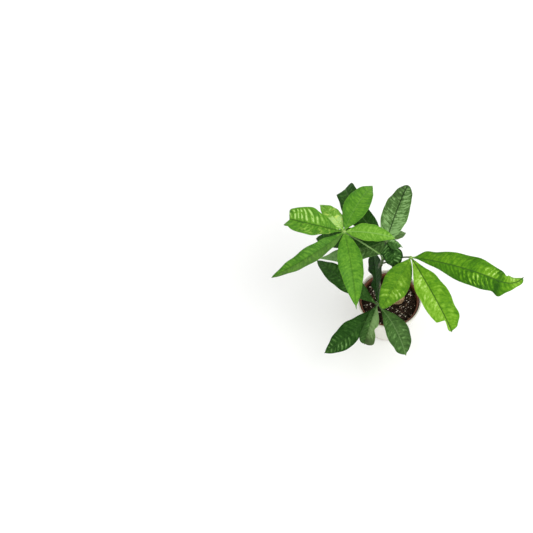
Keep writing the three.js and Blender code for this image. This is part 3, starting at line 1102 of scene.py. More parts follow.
@dataclass
class NurseryPot:
    """The thin brown pot that the plant was grown in."""

    cover: CoverPot
    foot_radius: float = 33.2
    height: float = 73.0
    wall: float = 1.2
    rim_bead: float = 1.2
    bead_height: float = 3.0
    rim_gap: float = 1.2 * GAP
    foot_round: float = 1.0
    foot_ring: float = 8.0  # a ring of points under the foot, counted inward from its edge
    holes: int = 6
    hole_radius: float = 4.0
    hole_circle: float = 21.0
    hole_sides: int = 32
    wall_rows: int = 14
    sides: int = 120
    finish: MouldedPlastic = field(default_factory=MouldedPlastic)

    @property
    def foot(self) -> float:
        """The height of its underside."""
        return self.cover.floor + GAP

    @property
    def top(self) -> float:
        """The height of its rim."""
        return self.foot + self.height

    @property
    def rim_radius(self) -> float:
        """The rim's outside radius, just inside the cover pot."""
        return self.cover.inside(self.top - self.bead_height) - self.rim_gap

    def inside(self, z: float) -> float:
        """The inside radius at a height above the table."""
        wide = self.rim_radius - self.rim_bead - self.foot_radius
        return self.foot_radius + wide * (z - self.foot) / self.height - self.wall

    def build(self) -> bpy.types.Object:
        """Makes the piece, with its drain holes cut.

        Returns:
            The piece.
        """
        bead = self.rim_bead / 2
        wall_top = self.top - self.bead_height
        corner = self.foot_round
        profile = [(0.0, self.foot), (self.foot_radius - self.foot_ring, self.foot)]
        profile += arc((self.foot_radius - corner, self.foot + corner), corner, -90, 0, 3)
        heights = np.linspace(self.foot + 3, wall_top, self.wall_rows)
        profile += [(self.inside(z) + self.wall, z) for z in heights]
        profile += arc((self.rim_radius - bead, wall_top + bead), bead, -60, 0, 3)
        profile += arc((self.rim_radius - bead, self.top - bead), bead, 0, 90, 4)
        profile += arc((self.inside(self.top) + bead, self.top - bead), bead, 90, 180, 3)
        floor = self.foot + self.wall
        profile += [(self.inside(z), z) for z in np.linspace(wall_top, floor + 2, self.wall_rows)]
        profile += [(self.inside(floor) - 1, floor), (0.0, floor)]
        skin = Skin()
        turned(skin, profile, self.sides)
        piece = skin.build("brown_nursery_pot", [self.finish.material()])
        self._drill(piece)
        return hand_over(piece, Slot.NURSERY_PLASTIC, "nursery_pot")

    def _drill(self, piece: bpy.types.Object) -> None:
        """Cuts the drain holes through the floor.

        Args:
            piece: The pot, whose mesh is changed.
        """
        size = {"radius": self.hole_radius * MM, "depth": 4 * self.wall * MM}
        for i in range(self.holes):
            turn = Euler((0, 0, 2 * math.pi * i / self.holes)).to_matrix()
            spot = turn @ Vector((self.hole_circle, 0, self.foot)) * MM
            bpy.ops.mesh.primitive_cylinder_add(vertices=self.hole_sides, location=spot, **size)
            drill = bpy.context.object
            cut = piece.modifiers.new("drain_hole", "BOOLEAN")
            cut.operation = "DIFFERENCE"
            cut.object = drill
            bpy.context.view_layer.objects.active = piece
            bpy.ops.object.modifier_apply(modifier=cut.name)
            bpy.data.objects.remove(drill)


@dataclass
class Stump:
    """The cut-back woody stump that the shoot grows from."""

    x: float = 12.0
    y: float = 7.0
    radius: float = 12.5
    top: float = 83.0
    foot: float = 34.0
    flare: float = 1.5
    tilt: float = 4.0
    worn: float = 0.9  # how far the edge of the cut is worn back
    worn_part: float = 0.07  # over this share of the height
    bare_part: float = 0.04  # the bark's relief fades out over this share
    cut_rings: int = 22
    cut_relief: float = 0.28
    cut_sag: float = 0.35  # how far the cut's edge hangs below its middle
    plate_relief: float = 0.55
    fine_relief: float = 0.25
    grain: float = 0.28  # how much the relief is drawn out lengthways
    sides: int = 128
    rows: int = 90
    bark: RoughBark = field(default_factory=RoughBark)

    def reach(self, share: Any, angle: Any) -> Any:
        """The radius before the bark's relief.

        Args:
            share: The share of the way up.
            angle: The direction in radians.

        Returns:
            The radius.
        """
        uneven = 0.5 * np.sin(3 * angle + 0.7) + 0.35 * np.sin(5 * angle + 4 * share)
        edge = self.worn * smooth((share - 1 + self.worn_part) / self.worn_part)
        return self.radius + self.flare * (1 - share) ** 2 + uneven - edge

    def _relief(self, share: float, angle: float) -> float:
        """The height of the bark's plates and furrows over its mean surface.

        Args:
            share: The share of the way up.
            angle: The direction in radians.

        Returns:
            The height, below 0 in a furrow.
        """
        at = Vector((math.cos(angle), math.sin(angle), 0)) * self.radius
        at.z = self.grain * share * (self.top - self.foot)
        ridges = noise.ridged_multi_fractal(at * 0.42, 1.0, 2.1, 4, 1.0, 2.0)
        return self.plate_relief * (ridges - 1.1) + self.fine_relief * noise.noise(at * 1.7)

    def build(self) -> bpy.types.Object:
        """Makes the piece: bark round the side, cut wood on top.

        Returns:
            The piece.
        """
        tall = self.top - self.foot
        angles = np.linspace(0, 2 * math.pi, self.sides, endpoint=False)
        side = []
        for i in range(self.rows):
            share = i / (self.rows - 1)
            # the solid's outline runs the other way round in y
            reach = self.reach(share, -angles)
            relief = np.array([self._relief(share, a) for a in angles])
            reach = reach + relief * (1 - smooth((share - 1 + self.bare_part) / self.bare_part))
            side.append(self._ring(reach, angles, share * tall))
        skin = Skin()
        skin.add(np.array(side), tube_faces(self.rows, self.sides))
        cut = [side[-1]]
        for share in np.linspace(0.96, 0.06, self.cut_rings):
            ring = self._ring(self.reach(1.0, -angles) * share, angles, tall)
            sag = self.cut_sag * share**6
            ring[:, 2] += [self.cut_relief * noise.noise(Vector(p) * 0.5) - sag for p in ring]
            cut.append(ring)
        rows = len(cut)
        cut = np.vstack(cut + [np.mean(cut[-1], axis=0, keepdims=True)])
        faces = tube_faces(rows, self.sides)
        last = (rows - 1) * self.sides
        faces += [[last + j, last + (j + 1) % self.sides, len(cut) - 1] for j in range(self.sides)]
        skin.add(cut, faces, finish=1)
        base = np.vstack([side[0], [[self.x, self.y, self.foot]]])
        skin.add(base, [[self.sides, (j + 1) % self.sides, j] for j in range(self.sides)])
        wood = CutWood(centre=(self.x, self.y), radius=self.radius)
        piece = skin.build("cut_stump", [self.bark.material(), wood.material()])
        weld(piece)
        return hand_over(piece, Slot.BARK, "trunk")

    def _ring(self, reach: Array, angles: Array, up: float) -> Array:
        """The points of a ring.

        Args:
            reach: Its radius in each direction.
            angles: The directions in radians.
            up: Its height over the stump's foot.

        Returns:
            Its points, tilted with the cut.
        """
        u = reach * np.cos(angles)
        v = reach * np.sin(angles)
        lift = (up / (self.top - self.foot)) * math.tan(math.radians(self.tilt)) * u
        return np.stack([self.x + u, self.y + v, self.foot + up + lift], axis=1)


@dataclass
class SoilBed:
    """The potting mix in the nursery pot, with its crumbs, bark chips and perlite."""

    pot: NurseryPot
    stump: Stump
    level: float = 67.5
    crown: float = 2.5
    crumb: float = 1.3
    rings: int = 92
    sides: int = 260
    cad_grains: int = 22  # the grains of the solids: how many, their draw and their sizes
    cad_seed: float = 7.0
    cad_sizes: Ends = (1.2, 2.1)
    crumbs: int = 1500
    crumb_sizes: Ends = (0.45, 1.35)
    chips: int = 110
    chip_lengths: Ends = (1.4, 3.4)
    chip_widths: Ends = (0.3, 0.6)
    grains: int = 340
    grain_sizes: Ends = (0.3, 1.3)
    stump_gap: float = 1.6
    smooth_rim: float = 0.03  # the relief fades out over this share of the radius
    coarse_relief: float = 0.75
    fine_relief: float = 0.25
    lump_relief: float = 0.42
    seed: int = 4

    @property
    def rim(self) -> float:
        """The bed's radius at its surface."""
        return self.pot.inside(self.level) - GAP

    def height(self, x: Any, y: Any) -> Any:
        """The bed's height above the table, before its finest relief.

        Args:
            x: Where, to the right of the pot's axis.
            y: Where, behind the pot's axis.

        Returns:
            The height.
        """
        away = np.hypot(x, y) / self.pot.inside(self.level)
        lumps = np.sin(0.61 * x + 1.3) * np.sin(0.53 * y - 0.4) + 0.6 * np.sin(1.27 * x - 0.9 * y)
        return self.level + self.crown * (1 - away * away) + 0.6 * self.crumb * lumps

    def build(self) -> list[bpy.types.Object]:
        """Makes the bed, the perlite and the bark chips.

        Returns:
            The three pieces.
        """
        draw = random.Random(self.seed)
        bed = self._bed(draw)
        perlite = self._perlite(draw)
        chips = self._chips(draw)
        return [
            hand_over(bed, Slot.POTTING_MIX, "soil"),
            hand_over(perlite, Slot.POTTING_MIX),
            hand_over(chips, Slot.POTTING_MIX),
        ]

    def _bed(self, draw: random.Random) -> bpy.types.Object:
        """Makes the bed with its crumbs.

        Args:
            draw: The source of the crumbs' places, sizes and shapes.

        Returns:
            The piece.
        """
        foot = self.pot.foot + self.pot.wall + GAP
        angles = np.linspace(0, 2 * math.pi, self.sides, endpoint=False)
        rings = [np.full(self.sides, r) for r in (0.02, self.pot.inside(foot) - GAP)]
        heights = [np.full(self.sides, foot) for _ in rings]
        top = []
        for share in np.linspace(1.0, 0.004, self.rings):
            reach = np.full(self.sides, self.rim * share)
            x, y = reach * np.cos(angles), reach * np.sin(angles)
            rough = [self._roughness(a, b) for a, b in zip(x, y)]
            rings.append(reach)
            top.append(self.height(x, y) + np.array(rough) * smooth((1 - share) / self.smooth_rim))
        heights += top
        points = [np.stack([r * np.cos(angles), r * np.sin(angles), z], 1) for r, z in zip(rings, heights)]
        skin = Skin()
        around = list(range(self.sides))
        closing = [around[::-1], [(len(points) - 1) * self.sides + j for j in around]]
        skin.add(np.vstack(points), tube_faces(len(points), self.sides) + closing)
        for _ in range(self.crumbs):
            spot = self._spot(draw, 0.985)
            if spot is not None:
                size = draw.uniform(*self.crumb_sizes) ** 1.3
                self._lump(skin, draw, spot, size, squash=0.75, sunk=0.25)
        return skin.build("crumbly_soil", [PottingMix().material()])

    def _perlite(self, draw: random.Random) -> bpy.types.Object:
        """Makes the perlite: the grains of the solids where they lie, and more between them.

        Args:
            draw: The source of the grains' shapes, and of the places and sizes of the added ones.

        Returns:
            The piece.
        """
        skin = Skin()
        placed = GrainDraw(self.cad_seed)
        for _ in range(self.cad_grains):
            away = self.rim * 0.93 * math.sqrt(placed())
            angle = 2 * math.pi * placed()
            size = lerp(self.cad_sizes[0], self.cad_sizes[1], placed())
            for _ in range(2):
                placed()  # the solids draw two more numbers for each grain
            x, y = away * math.cos(angle), away * math.sin(angle)
            if math.hypot(x - self.stump.x, y - self.stump.y) > self.stump.radius + size + 1:
                self._lump(skin, draw, (x, y), 0.75 * size, squash=0.75, sunk=0.1)
        for _ in range(self.grains):
            spot = self._spot(draw, 0.97)
            if spot is not None:
                self._lump(skin, draw, spot, draw.uniform(*self.grain_sizes), squash=0.7, sunk=0.1)
        return skin.build("perlite_grains", [PerliteGrain().material()])

    def _chips(self, draw: random.Random) -> bpy.types.Object:
        """Makes the flat bark chips.

        Args:
            draw: The source of their places, sizes and shapes.

        Returns:
            The piece.
        """
        skin = Skin()
        for _ in range(self.chips):
            spot = self._spot(draw, 0.95)
            if spot is not None:
                long = draw.uniform(*self.chip_lengths)
                wide = draw.uniform(*self.chip_widths)
                self._lump(skin, draw, spot, long, squash=0.22, sunk=-0.05, narrow=wide)
        return skin.build("bark_chips", [BarkChip().material()])

    def _roughness(self, x: float, y: float) -> float:
        """The bed's finest relief.

        Args:
            x: Where, to the right of the pot's axis.
            y: Where, behind the pot's axis.

        Returns:
            Its height.
        """
        at = Vector((x, y, 0.0))
        coarse = self.coarse_relief * noise.fractal(at * 0.35, 0.9, 2.2, 5)
        return coarse + self.fine_relief * noise.noise(at * 1.3)

    def _spot(self, draw: random.Random, share: float) -> Optional[tuple[float, float]]:
        """Draws a place on the bed.

        Args:
            draw: The source of the place.
            share: How far out it may lie, as a share of the bed's radius.

        Returns:
            The place, or None where the stump stands.
        """
        away = self.rim * share * math.sqrt(draw.random())
        angle = draw.uniform(0, 2 * math.pi)
        x, y = away * math.cos(angle), away * math.sin(angle)
        if math.hypot(x - self.stump.x, y - self.stump.y) < self.stump.radius + self.stump_gap:
            return None
        return x, y

    def _lump(
        self,
        skin: Skin,
        draw: random.Random,
        spot: tuple[float, float],
        size: float,
        squash: float,
        sunk: float,
        narrow: float = 0.85,
    ) -> None:
        """Adds an irregular lump lying on the bed.

        Args:
            skin: The skin that gets it.
            draw: The source of its random shape.
            spot: Where it lies.
            size: Its longest radius.
            squash: Its height as a share of its length.
            sunk: How far it is sunk, as a share of its size; below 0 it stands higher.
            narrow: Its width as a share of its length.
        """
        points, faces = LUMP
        turn = Euler((draw.uniform(-0.5, 0.5), draw.uniform(-0.5, 0.5), draw.uniform(0, 6.28))).to_matrix()
        where = Vector([draw.uniform(0, 50) for _ in range(3)])
        shape = []
        for p in points:
            reach = size * (1 + self.lump_relief * noise.noise(p * 1.6 + where))
            shape.append(turn @ Vector((p.x * reach, p.y * reach * narrow, p.z * reach * squash)))
        x, y = spot
        z = float(self.height(x, y)) + self._roughness(x, y) - sunk * size
        skin.add(np.array(shape) + np.array([x, y, z]), faces)


@dataclass
class Shoot:
    """The green shoot with its leaf scars and bud."""

    path: tuple[Point, ...] = (
        (2, -0.5, 79),
        (-7, -2, 93),
        (-18, -1, 120),
        (-21, 7, 148),
        (-20, 12, 168),
        (-17, 15, 187),
        (-12.5, 18, 206),
        (-10, 20, 219),
    )
    foot_radius: float = 3.9
    tip_radius: float = 2.1
    foot_flare: float = 1.6
    flare_part: float = 0.05
    scars: tuple[float, ...] = (0.2, 0.37, 0.55, 0.7, 0.82, 0.93)
    scar_height: float = 0.55
    scar_span: float = 0.018
    edge_after: float = 0.006  # each scar's sharper upper edge: how far after its middle
    edge_span: float = 0.004
    edge_height: float = 0.18
    rib_height: float = 0.09
    tip_rings: int = 8  # rings that narrow towards the bud
    tip_share: float = 0.55
    green_from: float = 120.0
    green_above: float = 200.0
    sides: int = 32
    steps: int = 420
    bud_radius: float = 2.3
    bud_height: float = 9.0
    bud_scales: int = 3
    bud_steps: int = 26

    def build(self) -> bpy.types.Object:
        """Makes the piece.

        Returns:
            The piece.
        """
        skin = Skin()
        centres = curve_through(self.path, self.steps)
        share = np.linspace(0, 1, self.steps)
        scar = np.max([np.exp(-(((share - s) / self.scar_span) ** 2)) for s in self.scars], axis=0)
        past = share - self.edge_after
        edge = np.max([np.exp(-(((past - s) / self.edge_span) ** 2)) for s in self.scars], axis=0)
        radius = lerp(self.foot_radius, self.tip_radius, share**0.8)
        radius = radius + self.foot_flare * np.exp(-share / self.flare_part)
        radius = radius + self.scar_height * scar + self.edge_height * edge
        columns = range(self.sides)
        ribs = np.array([[noise.noise(Vector((2.2 * j, 11 * s, 0))) for j in columns] for s in share])
        reach = radius[:, None] + self.rib_height * ribs
        reach[-self.tip_rings :] *= np.linspace(1, self.tip_share, self.tip_rings)[:, None]
        scarred = np.outer(np.clip(edge + 0.35 * scar, 0, 1), [1, 0, 0])
        rod(skin, centres, reach, self.sides, stem=scarred)
        self._bud(skin, centres[-1])
        bark = GreenBark(low=self.green_from, high=self.green_above)
        piece = skin.build("green_shoot", [bark.material()])
        return hand_over(piece, Slot.GREEN_BARK, "shoot")

    def _bud(self, skin: Skin, root: Array) -> None:
        """Adds the pointed bud and the scales folded round it.

        Args:
            skin: The shoot's skin.
            root: The tip of the shoot.
        """
        share = np.linspace(0, 1, self.bud_steps)
        rise = np.stack([0.9 + 1.1 * share, 0.4 * share, self.bud_height * share - 1.3], axis=1)
        swell = np.sin(math.pi * (0.32 + 0.66 * share)) ** 0.9
        scarred = np.outer(0.1 * share, [1, 0, 0])
        radius = 0.15 + 0.8 * self.bud_radius * swell * (1 - 0.25 * share)
        rod(skin, root + rise, radius, 16, stem=scarred)
        for i in range(self.bud_scales):
            angle = 2 * math.pi * i / self.bud_scales + 0.4
            out = np.array([math.cos(angle), math.sin(angle), 0.0])
            lean = np.outer(np.sin(math.pi * 0.9 * share) * self.bud_radius * 0.45, out)
            up = np.stack([0.9 + 0.8 * share, 0.3 * share, 0.72 * self.bud_height * share - 1.4], axis=1)
            width = 0.12 + 0.42 * self.bud_radius * np.sin(math.pi * (0.25 + 0.74 * share))
            rod(skin, root + up + lean, width, 12, stem=scarred)


# ---------------------------------------------------------------- leaves


Hump = tuple[int, float, float, float]  # side (1 left, -1 right), place along the length, span, amount


def humps(base: Array, given: Sequence[Hump], t: Array, u: Array) -> Array:
    """Adds smooth humps, each on one half of a blade, to a value.

    Args:
        base: The value without them.
        given: The humps.
        t: Shares of the blade's length.
        u: Shares of its half width, positive on the left.

    Returns:
        The value with them.
    """
    for side, at, span, amount in given:
        base = base + np.where(side * u > 0, amount * np.exp(-(((t - at) / span) ** 2)), 0.0)
    return base


@dataclass(frozen=True)
class Leaflet:
    """One leaflet: its form, as in the solids, and how it is coloured.

    The length runs along the midrib and the heading is seen from above, from +X towards +Y. rise and
    fall are the midrib's slopes at hub and tip; sway is how far it turns sideways on the way; widest
    is where the blade is widest, as a share of its length; fold lifts both halves about the midrib;
    roll turns the blade about it at hub and tip; curl and hook bend the end down or sideways from
    curl_at on, over curl_span; drip is the pointed tip's length; full says how slender the outline
    starts and ends; nip is where the left (1) or right (-1) half loses a share of its width, and
    swells widen it.

    left and right are the halves' tones at hub and tip: partly their own colour, partly painted light
    and shade where a half faces towards or away from the light or lies in another leaf's shadow, and
    shades lift or lower them in places, also painting shade into folds. The other pairs are for the
    left and the right half: dull greys it, sheen is a painted highlight on the swellings between the
    veins, with painted glints here and there, and mottle gives it pale blotches. rib is how much paler
    (or, below 0, darker) the midrib is, a darker one partly as painted shade in its groove; quilt is
    how far the blade swells between its veins, loose how far the painted highlight and streaks stray
    from them, and veins how dark the side veins are, as painted shade in their grooves.
    """

    length: float
    width: float
    heading: float
    rise: float
    fall: float
    sway: float
    widest: float
    fold: float
    roll: Ends = (0.0, 0.0)
    curl: float = 0.0
    hook: float = 0.0
    curl_at: float = 0.8
    curl_span: float = 0.14
    drip: float = 3.0
    full: Ends = (1.1, 0.75)
    nip: Optional[tuple[int, float, float]] = None
    swells: tuple[Hump, ...] = ()
    # shades: painted shade in folds, and each half's tone lifted or lowered in places
    shades: tuple[Hump, ...] = ()
    # glints: painted highlights in places
    glints: tuple[Hump, ...] = ()
    # each half's tones: partly its own colour, partly painted light and shade
    left: Ends = (0.5, 0.5)
    right: Ends = (0.5, 0.5)
    dull: Ends = (0.0, 0.0)
    # rib below 0: darker midrib, partly painted shade in its groove
    rib: float = 0.0
    quilt: float = 0.45
    # sheen: painted highlight between the veins
    sheen: Ends = (0.3, 0.3)
    mottle: Ends = (0.0, 0.0)
    loose: float = 0.0
    # veins: painted shade in the side veins' grooves
    veins: float = 0.12
    gap: float = 7.5  # millimetres along the midrib from one side vein to the next
    wave: float = 0.035  # how far the edge strays, as a share of the half width


@dataclass(frozen=True)
class BladeRules:
    """What all leaflets share."""

    root: float = 3.0  # length of the bare stalk at the hub, and half its width
    stalk: float = 1.3
    cut: float = 0.25  # the least half width, at the tip
    nip_span: float = 0.06
    ripple: float = 1.1  # height of the edge's waves on a leaflet of the next length
    ripple_for: float = 110.0
    ripple_waves: float = 4.0
    ripple_lag: float = 1.3  # how far the right edge's waves are ahead of the left's
    vein_lean: float = 0.24  # how far the side veins run towards the tip, at the midrib and outward
    vein_bend: float = 0.32
    vein_offset: float = 0.37  # how far the left half's veins are from the right's
    vein_stray: float = 0.42
    thick: float = 0.5
    thin_edge: float = 0.28
    keel: float = 0.75
    row_step: float = 1.1
    columns: int = 33
    crowding: float = 1.3  # draws the columns towards the midrib
    midrib_steps: int = 240
    fewest_rows: int = 24
    curl_rows: int = 20  # added where the end curls over
    groove: float = 0.3  # the midrib's groove: depth and half width
    groove_span: float = 0.9
    vein_ridge: float = 0.16  # height of the side veins underneath


RULES = BladeRules()


class LeafletMesher:
    """Works out one leaflet's surface and adds it to a leaf's skin."""

    def __init__(self, leaflet: Leaflet, hub: Point) -> None:
        """Works out the midrib.

        Args:
            leaflet: The leaflet.
            hub: Where it starts.
        """
        self.leaflet = leaflet
        self.hub = np.array(hub, float)
        steps = RULES.midrib_steps
        grid = np.linspace(0, 1, steps + 1)
        bend = smooth((grid - leaflet.curl_at) / leaflet.curl_span)
        slope = np.radians(leaflet.rise + (leaflet.fall - leaflet.rise) * grid + leaflet.curl * bend)
        turn = np.radians(leaflet.heading + leaflet.sway * (grid - 0.5) + leaflet.hook * bend)
        ways = np.stack([np.cos(slope) * np.cos(turn), np.cos(slope) * np.sin(turn), np.sin(slope)], axis=1)
        strides = unit(ways[:-1] + ways[1:]) * leaflet.length / steps
        self.grid, self.turn, self.ways = grid, turn, ways
        self.seed = 0.31 * leaflet.heading + 0.17 * leaflet.length
        self.points = np.vstack([np.zeros(3), np.cumsum(strides, axis=0)])

    def _along(self, table: Array, t: Array) -> Array:
        """Reads a table of the midrib at shares of its length."""
        return np.stack([np.interp(t, self.grid, table[:, i]) for i in range(3)], axis=-1)

    def _stray(self, t: Array, side: Array, speed: float) -> Array:
        """Smooth noise along each half of the blade.

        Args:
            t: Shares of the length.
            side: Above 0 on the left half.
            speed: How quickly it changes.

        Returns:
            Values from -1 to 1.
        """
        seed = self.seed + 17.0 * (side > 0)
        slow = np.sin(speed * 6.3 * t + seed) + 0.7 * np.sin(speed * 11.1 * t + 2.3 * seed)
        return (slow + 0.5 * np.sin(speed * 19.7 * t + 3.1 * seed)) / 2.2

    def half_width(self, t: Array, u: Array) -> Array:
        """Half the blade's width.

        Args:
            t: Shares of the length.
            u: Shares of the half width, whose sign gives the side.

        Returns:
            The half widths on those sides.
        """
        leaf = self.leaflet
        start = RULES.root / leaf.length
        end = 1 - 0.8 * leaf.drip / leaf.length
        v = np.clip((t - start) / (end - start), 0, 1)
        oval = np.sin(math.pi * v ** (math.log(0.5) / math.log(leaf.widest)))
        blade = 0.5 * leaf.width * np.maximum(oval, 0) ** lerp(leaf.full[0], leaf.full[1], v)
        strip = RULES.stalk * np.minimum(1, (1 - t) * leaf.length / leaf.drip) ** 0.8
        if leaf.nip:
            side, at, loss = leaf.nip
            blade = np.where(side * u > 0, blade * (1 - loss * smooth((t - at) / RULES.nip_span)), blade)
        blade = blade * humps(1 + leaf.wave * self._stray(t, u, 2.0), leaf.swells, t, u)
        return np.maximum(np.hypot(blade, strip), RULES.cut)

    def surface(self, t: Array, u: Array) -> tuple[Array, Array, Array]:
        """Points of the upper face.

        Args:
            t: Shares of the length, as a grid.
            u: Shares of the half width, from -1 at the right edge to 1, as a grid.

        Returns:
            The points, the rank of the side veins there, and the distance from the midrib.
        """
        leaf = self.leaflet
        way = unit(self._along(self.ways, t))
        turn = np.interp(t, self.grid, self.turn)
        left = np.stack([-np.sin(turn), np.cos(turn), np.zeros_like(turn)], axis=-1)
        left = unit(left - way * np.sum(left * way, axis=-1, keepdims=True))
        up = np.cross(way, left)
        bank = np.radians(lerp(leaf.roll[0], leaf.roll[1], t))[..., None]
        side = left * np.cos(bank) + up * np.sin(bank)
        out = up * np.cos(bank) - left * np.sin(bank)
        half = self.half_width(t, u)
        ends = np.minimum(1, 6 * t * (1 - t))
        swing = np.sin(2 * math.pi * RULES.ripple_waves * t + np.where(u > 0, 0.0, RULES.ripple_lag))
        ripple = RULES.ripple * leaf.length / RULES.ripple_for * u * u * ends * swing
        across = np.abs(u) * half
        lean = (RULES.vein_lean + RULES.vein_bend * u * u) * across / leaf.gap
        rank = leaf.length / leaf.gap * t - lean + np.where(u > 0, RULES.vein_offset, 0.0)
        rank = rank + RULES.vein_stray * self._stray(t, u, 1.3)
        swell = np.abs(np.sin(math.pi * rank)) ** 0.8 - 0.5
        within = smooth(np.abs(u) / 0.3) * (1 - smooth((np.abs(u) - 0.65) / 0.35)) * smooth(half / 6)
        patchy = 0.65 + 0.45 * self._stray(t, u, 0.8)
        quilt = leaf.quilt * swell * within * patchy * np.minimum(1, 7 * t * (1 - t))
        groove = -RULES.groove * np.exp(-((across / RULES.groove_span) ** 2)) * ends
        lift = across * math.sin(math.radians(leaf.fold)) + ripple + quilt + groove
        shift = (u * half * math.cos(math.radians(leaf.fold)))[..., None]
        points = self.hub + self._along(self.points, t) + side * shift + out * lift[..., None]
        return points, rank, np.sign(u) * across

    def add_to(self, skin: Skin) -> None:
        """Adds the leaflet's upper and lower faces and its edge.

        Args:
            skin: The leaf's skin.
        """
        leaf = self.leaflet
        rows = max(RULES.fewest_rows, round(leaf.length / RULES.row_step))
        if leaf.curl:
            rows += RULES.curl_rows
        spread = np.linspace(-1, 1, RULES.columns)
        across = np.sign(spread) * np.abs(spread) ** RULES.crowding
        t, u = np.meshgrid(np.linspace(0, 1, rows), across, indexing="ij")
        upper, rank, distance = self.surface(t, u)
        normals = unit(np.cross(np.gradient(upper, axis=0), np.gradient(upper, axis=1)))
        edge = np.abs(u)
        ridge = RULES.keel * np.exp(-((distance / 1.0) ** 2)) * np.minimum(1, 3 * (1 - t) + 0.15)
        rib = 1 - smooth(np.abs((rank + 0.5) % 1 - 0.5) / 0.16)
        rib = RULES.vein_ridge * rib * (1 - edge**3)
        depth = lerp(RULES.thick, RULES.thin_edge, smooth((edge - 0.8) / 0.2)) + ridge + rib
        lower = upper - normals * depth[..., None]
        points = np.concatenate([upper.reshape(-1, 3), lower.reshape(-1, 3)])
        skin.add(points, self._faces(rows), **self._painted(t, u, rank, distance))

    @staticmethod
    def _faces(rows: int) -> list[list[int]]:
        """The faces of both sheets and of the edge round them.

        Args:
            rows: How many rows of points a sheet has.

        Returns:
            Faces of point numbers, where the lower sheet's follow the upper one's.
        """
        columns = RULES.columns
        below = rows * columns
        faces = sheet_faces(rows, columns)
        faces += [[below + a, below + d, below + c, below + b] for a, b, c, d in faces]
        for a in range(0, below - columns, columns):
            b = a + columns
            faces.append([a, below + a, below + b, b])
            a, b = a + columns - 1, b + columns - 1
            faces.append([b, below + b, below + a, a])
        for j in range(columns - 1):
            faces.append([j + 1, below + j + 1, below + j, j])
            k = below - columns + j
            faces.append([k, below + k, below + k + 1, k + 1])
        return faces

    def _painted(self, t: Array, u: Array, rank: Array, distance: Array) -> dict[str, Array]:
        """The values that the blade's finish reads.

        Args:
            t: Shares of the length, as a grid.
            u: Shares of the half width, as a grid.
            rank: The rank of the side veins there.
            distance: The distance from the midrib.

        Returns:
            Three numbers for each point of the upper and then the lower sheet, by name.
        """
        leaf = self.leaflet
        on_left = smooth((u + 0.05) / 0.1)
        # each half's tone, partly its own colour and partly painted light and shade, with the shades painting
        # shade into folds
        tone = lerp(lerp(leaf.right[0], leaf.right[1], t), lerp(leaf.left[0], leaf.left[1], t), on_left)
        tone = humps(tone, leaf.shades, t, u)
        dull = lerp(leaf.dull[1], leaf.dull[0], on_left)
        # sheen and glints: the painted highlight
        sheen = humps(lerp(leaf.sheen[1], leaf.sheen[0], on_left), leaf.glints, t, u)
        mottle = lerp(leaf.mottle[1], leaf.mottle[0], on_left) * (1 - smooth((t - 0.5) / 0.25))
        vein = (rank, distance, np.abs(u))
        # each row: a name, the numbers above and the numbers beneath
        table = (
            ("paint", (tone, dull, leaf.rib), (0.9 * tone + 0.05, np.maximum(dull, 0.7), 0.8)),
            ("vein", vein, vein),
            ("touch", (sheen, mottle, t), (0.0, mottle * 0.3, t)),
            ("relief", (leaf.veins, leaf.loose, 0.0), (-0.5 * leaf.veins, leaf.loose, 1.0)),
        )
        painted = {}
        for name, *sheets in table:
            full = [np.stack([np.broadcast_to(n, t.shape) for n in sheet], axis=-1) for sheet in sheets]
            painted[name] = np.concatenate([sheet.reshape(-1, 3) for sheet in full])
        return painted


@dataclass
class PalmateLeaf:
    """One hand-shaped leaf: petiole, hub and leaflets."""

    name: str
    node: str
    slot: Slot
    blade: LeafBlade
    stalk: Stalk
    hub: Point
    petiole: tuple[Point, ...]
    leaflets: tuple[Leaflet, ...]
    joint: Stalk
    petiole_radius: float = 1.2
    base_flare: float = 1.1
    base_part: float = 0.06
    hub_flare: float = 0.5
    hub_part: float = 0.05
    hub_radius: float = 3.1
    hub_height: float = 0.8
    hub_lobe: float = 0.26
    sides: int = 20
    steps: int = 90

    def build(self) -> bpy.types.Object:
        """Makes the piece.

        Returns:
            The piece.
        """
        skin = Skin()
        centres = curve_through((*self.petiole, self.hub), self.steps)
        share = np.linspace(0, 1, self.steps)
        radius = self.petiole_radius + self.base_flare * np.exp(-share / self.base_part)
        radius = radius + self.hub_flare * np.exp((share - 1) / self.hub_part)
        rod(skin, centres, radius, self.sides, finish=1)
        self._knob(skin)
        for leaflet in self.leaflets:
            LeafletMesher(leaflet, self.hub).add_to(skin)
        piece = skin.build(self.name, [self.blade.material(), self.stalk.material(), self.joint.material()])
        return hand_over(piece, self.slot, self.node)

    def _knob(self, skin: Skin) -> None:
        """Adds the hub, lobed where each leaflet's stalk leaves it.

        Args:
            skin: The leaf's skin.
        """
        points, faces = HUB_BALL
        shape = []
        for p in points:
            angle = math.atan2(p.y, p.x)
            near = max(math.cos(angle - math.radians(leaf.heading)) for leaf in self.leaflets)
            lobe = self.hub_lobe * max(near, 0.0) ** 6 * math.hypot(p.x, p.y)
            reach = self.hub_radius * (1 - self.hub_lobe + lobe)
            shape.append((p.x * reach, p.y * reach, p.z * reach * self.hub_height))
        skin.add(np.array(shape) + np.array(self.hub), faces, finish=2)


BRIGHT_STALK = Stalk("bright_stalk", green=(0.085, 0.20, 0.03), pale=(0.17, 0.30, 0.07))
RIPE_STALK = Stalk("ripe_stalk", green=(0.045, 0.085, 0.018), pale=(0.13, 0.17, 0.05))
DARK_STALK = Stalk("dark_stalk", green=(0.025, 0.065, 0.014), pale=(0.07, 0.12, 0.038))
BRIGHT_JOINT = Stalk("bright_joint", green=(0.17, 0.32, 0.05), pale=(0.32, 0.46, 0.12))
DARK_JOINT = Stalk("dark_joint", green=(0.05, 0.11, 0.02), pale=(0.14, 0.20, 0.06))

# A leaflet's first eight numbers are its length, width, heading, rise, fall, sway, widest and fold.

